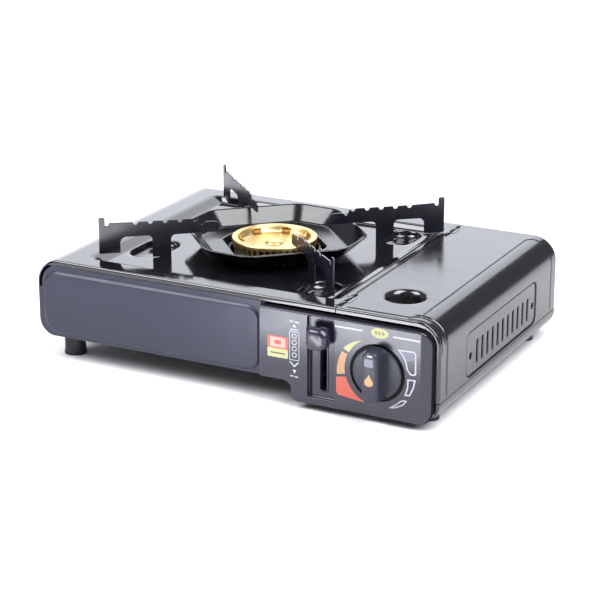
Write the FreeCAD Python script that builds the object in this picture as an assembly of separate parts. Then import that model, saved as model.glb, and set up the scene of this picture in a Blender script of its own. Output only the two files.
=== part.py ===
import FreeCAD, Part
import math
import os

# Cassette camping stove. Millimetres, +X to the right, +Y to the back, +Z up.
# The body is centred on X = 0 and Y = BODY_Y, and the feet stand on Z = 0.
# Shapes are built about the body's own middle (Y = 0), then moved by BODY_Y.

# --- driving dimensions ---------------------------------------------------------
WIDTH = 350.0
DEPTH = 240.0
TOP = 83.3
SHEET = 1.0
TOP_CORNER = 20.0
LEFT_FLOOR = 19.3
LEFT_CORNER = 14.0
BOX_FLOOR = 5.0
BOX_CORNER = 16.0
STEP_X = 55.0
STEP_RADIUS = 7.0
RIM = 3.0

KNOB_FRONT = -140.0
BODY_Y = -(KNOB_FRONT + DEPTH / 2) / 2

LEFT = -WIDTH / 2
RIGHT = WIDTH / 2
FRONT = -DEPTH / 2
BACK = DEPTH / 2

SEAM_LOW = 60.0
PANEL_SPLIT = 28.0
PANEL_FACE = -125.5
PANEL_WALL = 2.2

HINGE_X = 90.2
HINGE_Z = TOP - 0.5
HINGE_PIN = 1.0
KNUCKLE = 2.0
RUNNING = 0.05
LID_EDGE = 90.5
LID_LOW = 22.3
LID_HOLE = (125.3, -72.7, 14.0)

BURNER_X = -24.5
RECESS_FLOOR = 78.6
RECESS = (-138.0, -102.0, 83.5, 102.0)
RECESS_SIDE_SLOPE = 10.0
RECESS_END_SLOPE = 5.0
RECESS_CORNER = 5.0
WELL_DEPTH = 6.0
PLATE_HOLE = 41.0

ARM_ANGLE = 41.75
ARM_THICK = 1.4
ARM_TIP = 143.0
TRIVET_TURN = -2.25
OUTER_FOOT = 84.0
DISH_RIM = 95.8
DISH_FLOOR = 83.6

KNOB_X = 127.2
KNOB_Z = 40.2
KNOB_RADIUS = 21.3
DIAL_RADIUS = 23.3
STEM_RADIUS = 4.0
CAM_BASE = 9.0
CAM_RISE = 4.0
KNOB_TRAVEL = 135.0

LEVER_X = 81.8
LEVER_THICK = 2.0
LEVER_PIVOT = (-66.0, 43.0)
LEVER_PIN = 2.5
DRIVE_RADIUS = 14.0

CAN_X = 131.0
CAN_Z = 42.5
CAN_RADIUS = 34.0
PARTITION_X = 93.5

nodes = {}


# --- geometry helpers -------------------------------------------------------------
def place(u, v, plane, level):
    """A point of a flat outline, put in its plane at the given level."""
    if plane == "xz":
        return FreeCAD.Vector(u, level, v)
    if plane == "yz":
        return FreeCAD.Vector(level, u, v)
    return FreeCAD.Vector(u, v, level)


def outline(points, plane, level):
    """A closed wire through (u, v, corner radius) points."""
    flat = [FreeCAD.Vector(u, v, 0) for u, v, _ in points]
    spans = []
    for i, (_, _, radius) in enumerate(points):
        here = flat[i]
        to_last = flat[i - 1] - here
        to_next = flat[(i + 1) % len(flat)] - here
        to_last.normalize()
        to_next.normalize()
        if radius <= 0:
            spans.append((here, None, here))
            continue
        half = to_last.getAngle(to_next) / 2
        reach = radius / math.tan(half)
        middle = to_last + to_next
        middle.normalize()
        crown = here + middle * (radius / math.sin(half) - radius)
        spans.append((here + to_last * reach, crown, here + to_next * reach))
    edges = []
    for i, (start, crown, end) in enumerate(spans):
        a, c, b = [p and place(p.x, p.y, plane, level) for p in (start, crown, end)]
        if crown is not None:
            edges.append(Part.Arc(a, c, b).toShape())
        following = spans[(i + 1) % len(spans)][0]
        n = place(following.x, following.y, plane, level)
        if (n - b).Length > 1e-6:
            edges.append(Part.makeLine(b, n))
    return Part.Wire(edges)


def prism(points, plane, low, high):
    """The solid between two levels of one outline."""
    face = Part.Face(outline(points, plane, low))
    return face.extrude(place(0, 0, plane, high - low))


def taper(low_points, low, high_points, high, plane="xy"):
    """The solid between two different outlines with the same number of corners."""
    wires = [outline(low_points, plane, low), outline(high_points, plane, high)]
    return Part.makeLoft(wires, True, True)


def box(x0, y0, z0, x1, y1, z1):
    return Part.makeBox(x1 - x0, y1 - y0, z1 - z0, FreeCAD.Vector(x0, y0, z0))


def rod(start, end, radius):
    axis = FreeCAD.Vector(*end) - FreeCAD.Vector(*start)
    return Part.makeCylinder(radius, axis.Length, FreeCAD.Vector(*start), axis)


def cone(start, end, start_radius, end_radius):
    axis = FreeCAD.Vector(*end) - FreeCAD.Vector(*start)
    return Part.makeCone(start_radius, end_radius, axis.Length, FreeCAD.Vector(*start), axis)


def turned(profile, x, y):
    """A solid of revolution about the upright line at x, y from (radius, z) points."""
    points = [FreeCAD.Vector(x + r, y, z) for r, z in profile]
    face = Part.Face(Part.makePolygon(points + points[:1]))
    return face.revolve(FreeCAD.Vector(x, y, 0), FreeCAD.Vector(0, 0, 1), 360)


def rectangle(x0, y0, x1, y1, radius):
    return [(x0, y0, radius), (x1, y0, radius), (x1, y1, radius), (x0, y1, radius)]


def slot(x0, z0, x1, z1, y0, y1):
    """An upright slot through a front or back wall, with round ends."""
    return prism(rectangle(x0, z0, x1, z1, (x1 - x0) / 2 - 0.01), "xz", y0, y1)


def side_slot(y0, z0, y1, z1, x0, x1):
    """An upright slot through a side wall, with round ends."""
    return prism(rectangle(y0, z0, y1, z1, (y1 - y0) / 2 - 0.01), "yz", x0, x1)


def tube(route, radius, bend, bore=0.0):
    """A tube along straight runs joined by tangent arcs."""
    corners = [FreeCAD.Vector(*p) for p in route]
    edges = []
    at = corners[0]
    for last, here, following in zip(corners, corners[1:], corners[2:]):
        back = last - here
        ahead = following - here
        back.normalize()
        ahead.normalize()
        half = back.getAngle(ahead) / 2
        reach = bend / math.tan(half)
        middle = back + ahead
        middle.normalize()
        enter = here + back * reach
        leave = here + ahead * reach
        crown = here + middle * (bend / math.sin(half) - bend)
        edges.append(Part.makeLine(at, enter))
        edges.append(Part.Arc(enter, crown, leave).toShape())
        at = leave
    edges.append(Part.makeLine(at, corners[-1]))
    path = Part.Wire(edges)
    heading = corners[1] - corners[0]
    shape = path.makePipeShell([Part.Wire(Part.makeCircle(radius, corners[0], heading))], True, False)
    if bore:
        inner = Part.Wire(Part.makeCircle(bore, corners[0], heading))
        shape = shape.cut(path.makePipeShell([inner], True, False))
    return shape


def joined(shapes):
    whole = shapes[0].multiFuse(shapes[1:]) if len(shapes) > 1 else shapes[0]
    return whole.removeSplitter()


def without(shape, tools):
    return shape.cut(tools) if tools else shape


# --- sections of the body ---------------------------------------------------------
def body_section(inset):
    """The body's outline across X and Z, moved inward by the inset."""
    return [
        (LEFT + inset, TOP - inset, TOP_CORNER - inset),
        (RIGHT - inset, TOP - inset, TOP_CORNER - inset),
        (RIGHT - inset, BOX_FLOOR + inset, BOX_CORNER - inset),
        (STEP_X + inset, BOX_FLOOR + inset, STEP_RADIUS - min(inset, 4)),
        (STEP_X + inset, LEFT_FLOOR + inset, STEP_RADIUS),
        (LEFT + inset, LEFT_FLOOR + inset, LEFT_CORNER - inset),
    ]


def wrap(y0, y1):
    """The sheet that follows the body's outline between two stations."""
    outer = prism(body_section(0), "xz", y0, y1)
    return outer.cut(prism(body_section(SHEET), "xz", y0, y1))


def rim(y0, y1):
    """The flange folded inward at an open end of the sheet."""
    outer = prism(body_section(0), "xz", y0, y1)
    return outer.cut(prism(body_section(RIM), "xz", y0, y1))


def whole_wrap():
    ends = [rim(FRONT, FRONT + SHEET), rim(BACK - SHEET, BACK)]
    return joined([wrap(FRONT, BACK)] + ends)


# --- casing -----------------------------------------------------------------------
def make_body_tray():
    shell = whole_wrap()
    below = box(LEFT, FRONT, 0, RIGHT - 60, BACK, SEAM_LOW - 0.2)
    corner = box(RIGHT - 60, FRONT, 0, RIGHT, BACK, LID_LOW - 0.6)
    shell = shell.common(joined([below, corner]))
    front_gap = box(LEFT, FRONT, 0, PANEL_SPLIT, FRONT + 1.3, TOP)
    panel_gap = box(PANEL_SPLIT, FRONT, 0, RIGHT - 4, FRONT + 8, TOP)
    vents = []
    for i in range(5):
        x = -120 + i * 22
        vents.append(box(x, -40, LEFT_FLOOR - 1, x + 12, 40, LEFT_FLOOR + 2))
    return without(shell, [front_gap, panel_gap] + vents)


def make_front_panel():
    plate = prism(body_section(0.2), "xz", FRONT, FRONT + SHEET)
    plate = plate.common(box(LEFT, FRONT - 1, 0, PANEL_SPLIT - 0.3, FRONT + 2, TOP - 4.2))
    low = rectangle(-170, 22, 26.8, 74.5, 12)
    high = rectangle(-168.2, 23.8, 25, 72.7, 10.2)
    pad = taper(low, FRONT + 0.2, high, FRONT - 2, "xz")
    inner_low = rectangle(-169, 23, 25.8, 73.5, 11)
    inner_high = rectangle(-167.2, 24.8, 24, 71.7, 9.2)
    hollow = taper(inner_low, FRONT + 1.2, inner_high, FRONT - 1, "xz")
    return joined([plate, pad]).cut(hollow)


def make_back_panel():
    plate = prism(body_section(SHEET + 0.4), "xz", BACK - 2.6, BACK - 1.6)
    cuts = [box(PARTITION_X - 5, BACK - 5, TOP - 8, RIGHT, BACK, TOP)]
    for row in range(2):
        for i in range(12):
            x = -100 + i * 14
            z = 42 + row * 16
            cuts.append(slot(x, z, x + 4, z + 11, BACK - 5, BACK))
    return without(plate, cuts)


def panel_outline(inset):
    return [
        (PANEL_SPLIT + inset, 77.2 - inset, 1.5),
        (170.6 - inset, 77.2 - inset, 12 - inset),
        (170.6 - inset, BOX_FLOOR + inset, 11 - inset),
        (STEP_X + 0.4 + inset, BOX_FLOOR + inset, 5),
        (STEP_X + 0.4 + inset, 20.6 + inset, 7),
        (PANEL_SPLIT + inset, 20.6 + inset, 1.5),
    ]


def make_control_panel():
    block = prism(panel_outline(0), "xz", PANEL_FACE, FRONT + 5)
    bevel_plan = [(163, PANEL_FACE - 2, 0), (172, PANEL_FACE - 2, 0)]
    bevel_plan += [(172, PANEL_FACE + 3.2, 0), (163, PANEL_FACE, 0)]
    bevel = prism(bevel_plan, "xy", 0, TOP)
    hollow = prism(panel_outline(PANEL_WALL), "xz", PANEL_FACE + PANEL_WALL, FRONT + 6)
    hollow = hollow.cut(bevel.translated(FreeCAD.Vector(0, PANEL_WALL, 0)))
    channel = prism(rectangle(69.2, 10.9, 91.7, 76, 1.5), "xz", PANEL_FACE - 1, PANEL_FACE + 3)
    floor = prism(rectangle(67.2, 8.9, 93.7, 76.6, 1.5), "xz", PANEL_FACE + 0.5, PANEL_FACE + 5)
    lever_slot = box(79.2, PANEL_FACE - 1, 17, 84.4, FRONT + 6, 66)
    dial = rod((KNOB_X, PANEL_FACE - 1, KNOB_Z), (KNOB_X, PANEL_FACE + 0.8, KNOB_Z), DIAL_RADIUS)
    shaft_hole = rod((KNOB_X, PANEL_FACE - 1, KNOB_Z), (KNOB_X, FRONT + 6, KNOB_Z), 6)
    shell = joined([without(block, [bevel, hollow]), floor])
    return without(shell, [channel, lever_slot, dial, shaft_hole])


def knuckle_spans(owner):
    """Stretches of the hinge line that belong to the top plate or to the lid."""
    spans = []
    for start in (-113.0, 85.0):
        if owner == "lid":
            spans.append((start + 7.3, start + 20.7))
        else:
            spans.append((start, start + 7.0))
            spans.append((start + 21.0, start + 28.0))
    return spans


def knuckles(owner, toward):
    """Rolled hinge knuckles with the leaf that joins them to their sheet."""
    shapes = []
    for y0, y1 in knuckle_spans(owner):
        barrel = rod((HINGE_X, y0, HINGE_Z), (HINGE_X, y1, HINGE_Z), KNUCKLE)
        x0, x1 = sorted((HINGE_X + toward * 0.4, HINGE_X + toward * 4.4))
        leaf = box(x0, y0, HINGE_Z - 0.5, x1, y1, TOP)
        shapes.append(barrel.fuse(leaf))
    return shapes


def hinge_clearance(owner, x0, x1):
    """Room in one sheet for the other sheet's knuckles."""
    gap = 0.3
    return [box(x0, y0 - gap, HINGE_Z - 4, x1, y1 + gap, TOP + 3) for y0, y1 in knuckle_spans(owner)]


def wells():
    """Middle and half lengths along X and Y of each oval well in the recess."""
    places = []
    for side in (-1, 1):
        places.append((-111.5, side * 44, 15.5, 26))
        places.append((54.5, side * 75.5, 14.5, 21))
    return places


def well_outline(x, y, across, along, grow):
    across += grow
    along += grow
    return rectangle(x - across, y - along, x + across, y + along, across - 0.01)


def make_top_plate():
    shell = whole_wrap().common(box(LEFT, FRONT, SEAM_LOW, HINGE_X - 0.5, BACK, TOP))
    shell = shell.cut(box(LEFT, FRONT, 0, PANEL_SPLIT, FRONT + 1.3, TOP - 4))
    x0, y0, x1, y1 = RECESS
    side = RECESS_SIDE_SLOPE
    end = RECESS_END_SLOPE
    mouth = rectangle(x0, y0, x1, y1, RECESS_CORNER)
    foot = rectangle(x0 + side, y0 + end, x1 - side, y1 - end, RECESS_CORNER - 1)
    outer_mouth = rectangle(x0 - 1, y0 - 1, x1 + 1, y1 + 1, RECESS_CORNER + 1)
    outer_foot = rectangle(x0 + side - 1, y0 + end - 1, x1 - side + 1, y1 - end + 1, RECESS_CORNER)
    pan = taper(outer_foot, RECESS_FLOOR - SHEET, outer_mouth, TOP)
    hollow = taper(foot, RECESS_FLOOR, mouth, TOP + 0.01)
    cups = []
    cup_hollows = []
    low = RECESS_FLOOR - WELL_DEPTH
    for well in wells():
        cups.append(taper(well_outline(*well, -3.5), low - SHEET, well_outline(*well, 1), RECESS_FLOOR))
        cup_hollows.append(taper(well_outline(*well, -4.5), low, well_outline(*well, 0), RECESS_FLOOR + 0.01))
    collar = rod((BURNER_X, 0, RECESS_FLOOR - 4), (BURNER_X, 0, RECESS_FLOOR), PLATE_HOLE + SHEET)
    hole = rod((BURNER_X, 0, RECESS_FLOOR - 9), (BURNER_X, 0, TOP), PLATE_HOLE)
    plate = joined([shell.cut(hollow), pan.cut(hollow), collar] + cups)
    plate = without(plate, cup_hollows + [hole, hollow] + hinge_clearance("lid", HINGE_X - 2.6, HINGE_X + 3))
    plate = joined([plate] + knuckles("top_plate", -1))
    bores = [rod((HINGE_X, y0 - 1, HINGE_Z), (HINGE_X, y1 + 1, HINGE_Z), HINGE_PIN)
             for y0, y1 in knuckle_spans("top_plate")]
    return without(plate, bores)


def make_lid():
    shell = whole_wrap().common(box(LID_EDGE, FRONT, LID_LOW, RIGHT, BACK, TOP))
    x, y, radius = LID_HOLE
    flange = rod((x, y, TOP - 4.5), (x, y, TOP - SHEET), radius)
    hole = rod((x, y, TOP - 6), (x, y, TOP + 1), radius - SHEET)
    shell = joined([shell, flange]).cut(hole)
    cuts = hinge_clearance("top_plate", HINGE_X - 1, HINGE_X + 2.8)
    for i in range(11):
        mid = 4.75 + (i - 5) * 10.5
        cuts.append(side_slot(mid - 1.8, 30.4, mid + 1.8, 49.4, RIGHT - 3, RIGHT + 1))
    for mid in (-60.6, 68.5):
        cuts.append(rod((RIGHT - 3, mid, 40), (RIGHT + 1, mid, 40), 2.6))
    shell = joined([without(shell, cuts)] + knuckles("lid", 1))
    bores = [rod((HINGE_X, y0 - 1, HINGE_Z), (HINGE_X, y1 + 1, HINGE_Z), HINGE_PIN + RUNNING)
             for y0, y1 in knuckle_spans("lid")]
    return without(shell, bores)


def make_lid_hinge_pins():
    pins = []
    for start in (-113.0, 85.0):
        pins.append(rod((HINGE_X, start, HINGE_Z), (HINGE_X, start + 28, HINGE_Z), HINGE_PIN))
    return Part.makeCompound(pins)


# --- pan support ------------------------------------------------------------------
def dish_outline(shrink):
    """An eight-sided ring, longer across its sides than across its corners, turned with the arms."""
    far = 76.0 - shrink
    near = 68.0 - shrink
    reach = near * math.sqrt(2) - far
    points = [(far, -reach), (far, reach), (reach, far), (-reach, far)]
    points += [(-far, reach), (-far, -reach), (-reach, -far), (reach, -far)]
    c = math.cos(math.radians(TRIVET_TURN))
    s = math.sin(math.radians(TRIVET_TURN))
    radius = 18 - min(shrink, 18) * 0.3
    return [(BURNER_X + x * c - y * s, x * s + y * c, radius) for x, y in points]


def arm_profile():
    """One stamped arm across its radius and height, seen from the side."""
    bar = 96.6
    crest = 108.8
    valley = 106.6
    feet = RECESS_FLOOR + 0.05
    hook = ARM_TIP - 5
    points = [(45.5, bar, 2), (45.5, 105.6, 4.5), (57, 105.6, 4), (60, 102.4, 1)]
    points.append((62.6, crest - 1, 1))
    for notch in (65.4, 77.4, 89.4, 101.4, 113.4):
        points.append((notch - 2.4, crest, 0.6))
        points.append((notch - 1.2, valley, 0.6))
        points.append((notch + 1.2, valley, 0.6))
        points.append((notch + 2.4, crest, 0.6))
    points += [(hook - 3.6, crest + 0.6, 0.8), (hook - 2.6, 107, 1), (hook, 107, 1)]
    points += [(hook, 113.9, 1.6), (ARM_TIP, 113.9, 1.6), (ARM_TIP, OUTER_FOOT, 0)]
    points += [(ARM_TIP - 17, OUTER_FOOT, 0), (ARM_TIP - 17, bar + 0.4, 5), (100, bar + 0.4, 4)]
    points += [(100, feet, 0), (85, feet, 0), (85, bar, 4)]
    return points


def make_arms():
    arms = {}
    names = {"back_right": 0, "back_left": 1, "front_left": 2, "front_right": 3}
    for name, quarter in names.items():
        angle = ARM_ANGLE if quarter % 2 == 0 else 180 - ARM_ANGLE
        angle += 180 * (quarter // 2) + TRIVET_TURN
        arm = prism(arm_profile(), "xz", -ARM_THICK / 2, ARM_THICK / 2)
        arm.rotate(FreeCAD.Vector(0, 0, 0), FreeCAD.Vector(0, 0, 1), angle)
        arms["trivet_arm_" + name] = arm.translated(FreeCAD.Vector(BURNER_X, 0, 0))
    return arms


def make_trivet_dish(arms):
    wall = 12.0
    outer = taper(dish_outline(wall + 0.6), DISH_FLOOR - SHEET, dish_outline(2), DISH_RIM)
    inner = taper(dish_outline(wall + 1.6), DISH_FLOOR, dish_outline(3), DISH_RIM + 0.01)
    lip = prism(dish_outline(0), "xy", DISH_RIM - 1.2, DISH_RIM)
    lip = lip.cut(prism(dish_outline(3), "xy", DISH_RIM - 2, DISH_RIM + 1))
    hole = rod((BURNER_X, 0, 70), (BURNER_X, 0, 100), 43)
    neck = rod((BURNER_X, 0, DISH_FLOOR - 3), (BURNER_X, 0, DISH_FLOOR), 44)
    dish = joined([outer, lip, neck])
    return without(dish, [inner, hole] + arms)


# --- burner -----------------------------------------------------------------------
def make_burner_cap():
    profile = [(0, 81), (33.2, 81), (34.2, 83), (35, 89.2), (34.4, 90), (29.8, 90), (28.6, 84)]
    profile += [(10, 83), (0, 84)]
    cap = turned(profile, BURNER_X, 0)
    ports = []
    for i in range(40):
        notch = box(32.4, -0.8, 80, 37, 0.8, 86)
        notch.rotate(FreeCAD.Vector(0, 0, 0), FreeCAD.Vector(0, 0, 1), i * 9)
        ports.append(notch.translated(FreeCAD.Vector(BURNER_X, 0, 0)))
    for i in range(12):
        port = rod((18, 0, 80), (18, 0, 88), 1.6)
        port.rotate(FreeCAD.Vector(0, 0, 0), FreeCAD.Vector(0, 0, 1), i * 30)
        ports.append(port.translated(FreeCAD.Vector(BURNER_X, 0, 0)))
    return without(cap, ports)


def tube_place(reach):
    """A point on the mixing tube's line, at a distance from the burner's middle."""
    angle = math.radians(-32.6)
    return (BURNER_X + reach * math.cos(angle), reach * math.sin(angle), 48.0)


def make_burner_body():
    bowl = turned([(0, 44), (18, 44), (24, 52), (32.8, 72), (32.8, 81), (30, 81), (30, 73),
                   (21, 56), (17, 50), (0, 50)], BURNER_X, 0)
    bore = rod(tube_place(12), tube_place(40), 7.5)
    socket = rod(tube_place(18), tube_place(33), 11)
    inside = turned([(0, 50), (17, 50), (21, 56), (30, 73), (30, 81), (0, 81)], BURNER_X, 0)
    shape = joined([bowl, socket.cut(inside)])
    seat = rod(tube_place(27), tube_place(34), 9)
    return without(shape, [bore, seat])


def make_burner_collar():
    ring = turned([(36.4, 60), (37.6, 60), (37.6, 80.5), (36.4, 80.5)], BURNER_X, 0)
    cuts = []
    for i in range(36):
        cut = box(35, -1, 65, 39, 1, 77)
        cut.rotate(FreeCAD.Vector(0, 0, 0), FreeCAD.Vector(0, 0, 1), i * 10)
        cuts.append(cut.translated(FreeCAD.Vector(BURNER_X, 0, 0)))
    return without(ring, cuts)


def make_mixing_tube():
    pipe = rod(tube_place(27), tube_place(68), 9)
    bell = cone(tube_place(66), tube_place(76), 9, 12)
    inner_bell = cone(tube_place(67.5), tube_place(76), 7.5, 11)
    bore = rod(tube_place(26), tube_place(68), 7.5)
    return without(joined([pipe, bell]), [bore, inner_bell])


def make_jet_nozzle():
    hex_points = []
    for i in range(6):
        turn = math.radians(60 * i)
        hex_points.append((5 * math.cos(turn), 5 * math.sin(turn), 0))
    body = prism(hex_points, "yz", 79, 87)
    body = joined([body, rod((76.5, 0, 0), (80, 0, 0), 3)])
    bore = rod((76, 0, 0), (84, 0, 0), 0.6)
    seat = rod((84, 0, 0), (88, 0, 0), 2.5)
    body = without(body, [bore, seat])
    body.rotate(FreeCAD.Vector(0, 0, 0), FreeCAD.Vector(0, 0, 1), -32.6)
    return body.translated(FreeCAD.Vector(BURNER_X, 0, 48))


def make_burner_bracket(burner_body):
    floor = LEFT_FLOOR + SHEET
    foot = box(-62, -14, floor, 2, 14, floor + 1.2)
    left = box(-50, -14, floor + 1.2, -48.8, 14, 44)
    right = box(-11.2, -14, floor + 1.2, -10, 14, 44)
    deck = box(-50, -14, 42.8, -10, 14, 44)
    post_x, post_y, _ = tube_place(57)
    post = box(post_x - 3, post_y - 5, floor, post_x + 3, post_y + 5, 42)
    bracket = joined([foot, left, right, deck]).cut(burner_body)
    return bracket, post.cut(rod(tube_place(27), tube_place(68), 9))


def make_heat_plate():
    floor = LEFT_FLOOR + SHEET
    tongue = box(-6, 40, 66, 60, 70, 67.2)
    fall = box(60, 40, floor + 1, 61.2, 70, 67.2)
    strip = box(61.2, 40, floor + 1, PARTITION_X + 1.2, 70, floor + 2.2)
    return joined([tongue, fall, strip])


# --- gas controls -----------------------------------------------------------------
def make_regulator_body():
    drum = rod((KNOB_X, -112, KNOB_Z), (KNOB_X, -93, KNOB_Z), 17)
    neck = rod((CAN_X, -93, CAN_Z), (CAN_X, -84, CAN_Z), 9)
    ears = prism(rectangle(KNOB_X - 5, KNOB_Z - 27, KNOB_X + 5, KNOB_Z + 27, 5 - 0.01), "xz", -112, -109)
    outlet = rod((118, -101, 50), (118, -101, 60), 5)
    base = box(KNOB_X - 12, -108, BOX_FLOOR + SHEET, KNOB_X + 12, -96, KNOB_Z - 12)
    bore = rod((KNOB_X, -113, KNOB_Z), (KNOB_X, -99, KNOB_Z), STEM_RADIUS + RUNNING)
    inlet = rod((CAN_X, -92, CAN_Z), (CAN_X, -83, CAN_Z), 2.2)
    out_bore = rod((118, -101, 54), (118, -101, 61), 2.5)
    holes = [rod((KNOB_X, -113, KNOB_Z + s * 22.5), (KNOB_X, -108, KNOB_Z + s * 22.5), 1.7) for s in (-1, 1)]
    return without(joined([drum, neck, ears, outlet, base]), [bore, inlet, out_bore] + holes)


def make_valve_stem():
    stem = rod((KNOB_X, -136, KNOB_Z), (KNOB_X, -99.5, KNOB_Z), STEM_RADIUS)
    flat = box(KNOB_X - 5, -137, KNOB_Z + 2.6, KNOB_X + 5, -127, KNOB_Z + 5)
    return stem.cut(flat)


def make_stem_cam():
    """A spiral cam whose radius grows evenly as the knob opens the valve."""
    points = []
    count = 12
    for i in range(count + 1):
        turn = KNOB_TRAVEL * i / count
        radius = CAM_BASE + CAM_RISE * i / count
        angle = math.radians(180 + turn)
        x = KNOB_X + radius * math.cos(angle)
        z = KNOB_Z + radius * math.sin(angle)
        points.append(FreeCAD.Vector(x, -119.5, z))
    rise = Part.BSplineCurve()
    rise.interpolate(points)
    start = points[0]
    end = points[-1]
    back = FreeCAD.Vector(KNOB_X, -119.5, KNOB_Z + CAM_BASE)
    round_back = Part.Arc(end, FreeCAD.Vector(KNOB_X + 9.6, -119.5, KNOB_Z + 6.4), back)
    base_turn = math.radians(135)
    base_mid = FreeCAD.Vector(KNOB_X + CAM_BASE * math.cos(base_turn), -119.5,
                              KNOB_Z + CAM_BASE * math.sin(base_turn))
    base = Part.Arc(back, base_mid, start)
    wire = Part.Wire([rise.toShape(), round_back.toShape(), base.toShape()])
    cam = Part.Face(wire).extrude(FreeCAD.Vector(0, 4, 0))
    return cam.cut(rod((KNOB_X, -121, KNOB_Z), (KNOB_X, -114, KNOB_Z), STEM_RADIUS))


def make_knob():
    disc = -128.4
    rear = PANEL_FACE - 0.6
    skirt = rod((KNOB_X, disc, KNOB_Z), (KNOB_X, rear, KNOB_Z), KNOB_RADIUS)
    crown = cone((KNOB_X, disc, KNOB_Z), (KNOB_X, disc - 0.8, KNOB_Z), KNOB_RADIUS, KNOB_RADIUS - 1)
    low = rectangle(KNOB_X - 7, KNOB_Z - 20.8, KNOB_X + 7, KNOB_Z + 20.8, 6)
    high = rectangle(KNOB_X - 6.2, KNOB_Z - 20, KNOB_X + 6.2, KNOB_Z + 20, 5)
    grip = taper(low, disc - 0.4, high, KNOB_FRONT, "xz")
    bore = rod((KNOB_X, -136, KNOB_Z), (KNOB_X, -120, KNOB_Z), STEM_RADIUS)
    key = box(KNOB_X - 5, -136.5, KNOB_Z + 2.6, KNOB_X + 5, -127, KNOB_Z + 5)
    well = rod((KNOB_X, disc + 1.4, KNOB_Z), (KNOB_X, -120, KNOB_Z), KNOB_RADIUS - 2.4)
    hub = rod((KNOB_X, disc + 1, KNOB_Z), (KNOB_X, rear, KNOB_Z), STEM_RADIUS + 1.6)
    shape = joined([joined([skirt, crown, grip]).cut(well), hub])
    return without(shape, [bore.cut(key)])


def make_piezo_housing():
    body = prism(rectangle(-122.6, 33.4, -112.6, 47, 1.5), "yz", 97, 112.6)
    bore = rod((100, -117.5, KNOB_Z), (113, -117.5, KNOB_Z), 3.5 + RUNNING)
    return body.cut(bore)


def make_piezo_plunger():
    tip = KNOB_X - CAM_BASE - 0.3
    shank = rod((104.2, -117.5, KNOB_Z), (tip - 3, -117.5, KNOB_Z), 3.5)
    return joined([shank, cone((tip - 3, -117.5, KNOB_Z), (tip, -117.5, KNOB_Z), 3.5, 2)])


def make_gas_pipe():
    route = [(118, -101, 54), (118, -101, 70), (76, -66, 70), tube_place(108)]
    route.append(tube_place(84.2))
    return tube(route, 2.5, 7, 1.6)


def make_ignition_wire():
    route = [(104, -117.5, 33.4), (104, -117.5, 20), (98, -104, 9.5), (64, -96, 9.5)]
    route += [(60, -84, 26), (24, -52, 30), (8.6, -40.2, 52), (8.6, -40.2, 60)]
    return tube(route, 1.1, 4)


def make_igniter():
    x, y = 8.6, -40.2
    insulator = joined([rod((x, y, 60), (x, y, 73), 3), rod((x, y, 64), (x, y, 66), 4.4)])
    insulator = insulator.cut(rod((x, y, 60), (x, y, 73), 0.9))
    pin = rod((x, y, 60), (x, y, 76), 0.9)
    return insulator, pin


# --- canister lock ----------------------------------------------------------------
def make_lock_lever():
    y, z = LEVER_PIVOT
    x0 = LEVER_X - LEVER_THICK / 2
    x1 = LEVER_X + LEVER_THICK / 2
    rise = math.tan(math.radians(15.5))
    end = -134.0
    lift = (y - end) * rise
    arm = [(y + 7, z - 6, 3), (y + 7, z + DRIVE_RADIUS + 6, 3), (y - 7, z + DRIVE_RADIUS + 6, 3)]
    arm += [(y - 12, z + 8, 4), (end, z + lift + 4.5, 1), (end, z + lift - 4.5, 1), (y - 7, z - 6, 3)]
    plate = prism(arm, "yz", x0, x1)
    pivot = rod((x0 - 1, y, z), (x1 + 1, y, z), LEVER_PIN + RUNNING)
    drive = rod((x0 - 1, y, z + DRIVE_RADIUS), (x1 + 1, y, z + DRIVE_RADIUS), 2)
    return without(plate, [pivot, drive])


def make_lever_thumb(lever):
    side = [(-128.5, 52.6, 2), (-128.5, 69.6, 2.5), (-134, 70.6, 4), (-139.5, 65, 4)]
    side += [(-139.5, 55.4, 3), (-135, 51.6, 3)]
    thumb = prism(side, "yz", 70.4, 91.0)
    shave = prism([(86, -143, 0), (92, -143, 0), (92, -132, 0)], "xy", 40, 80)
    return without(thumb, [shave, lever])


def make_lever_bracket():
    y, z = LEVER_PIVOT
    floor = BOX_FLOOR + SHEET
    ear = [(y - 8, floor, 0), (y + 8, floor, 0), (y + 8, z + 3, 4), (y - 8, z + 3, 4)]
    left = prism(ear, "yz", 76.5, 78)
    right = prism(ear, "yz", 89.5, 91)
    foot = box(76.5, y - 8, floor, 91, y + 8, floor + 1.5)
    return without(joined([left, right, foot]), [rod((70, y, z), (93, y, z), LEVER_PIN)])


def make_lever_spring():
    """A wire wound twice round the pivot pin, with a leg down to the bracket's foot."""
    y, z = LEVER_PIVOT
    wire = 0.35
    steps = 8
    coil = 4.6
    route = [(78.6, y + coil, z - 14)]
    for i in range(2 * steps + 1):
        turn = 2 * math.pi * i / steps
        route.append((78.6 + 0.1 * i, y + coil * math.cos(turn), z + coil * math.sin(turn)))
    return tube(route, wire, 2.6)


def make_canister_carrier():
    y, z = LEVER_PIVOT
    low = z + 6.5
    rail = box(85.6, -84.5, low, 87.1, -50, z + 22)
    fork = prism(rectangle(87.1, 24, 156, 60, 3), "xz", -84.5, -83)
    fork = joined([fork, box(86.9, -84.5, low, 92, -83, z + 17)])
    mouth = rod((CAN_X, -90, CAN_Z), (CAN_X, -80, CAN_Z), 13)
    lead = box(CAN_X - 13, -90, CAN_Z, CAN_X + 13, -80, 70)
    corner = box(87.6, -90, 20, PARTITION_X + 3, -80, low)
    drive_slot = prism(rectangle(y - 2.5, z + 9.4, y + 2.5, z + 18.6, 2.4), "yz", 85, 88)
    return without(joined([rail, fork]), [mouth, lead, corner, drive_slot])


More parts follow.
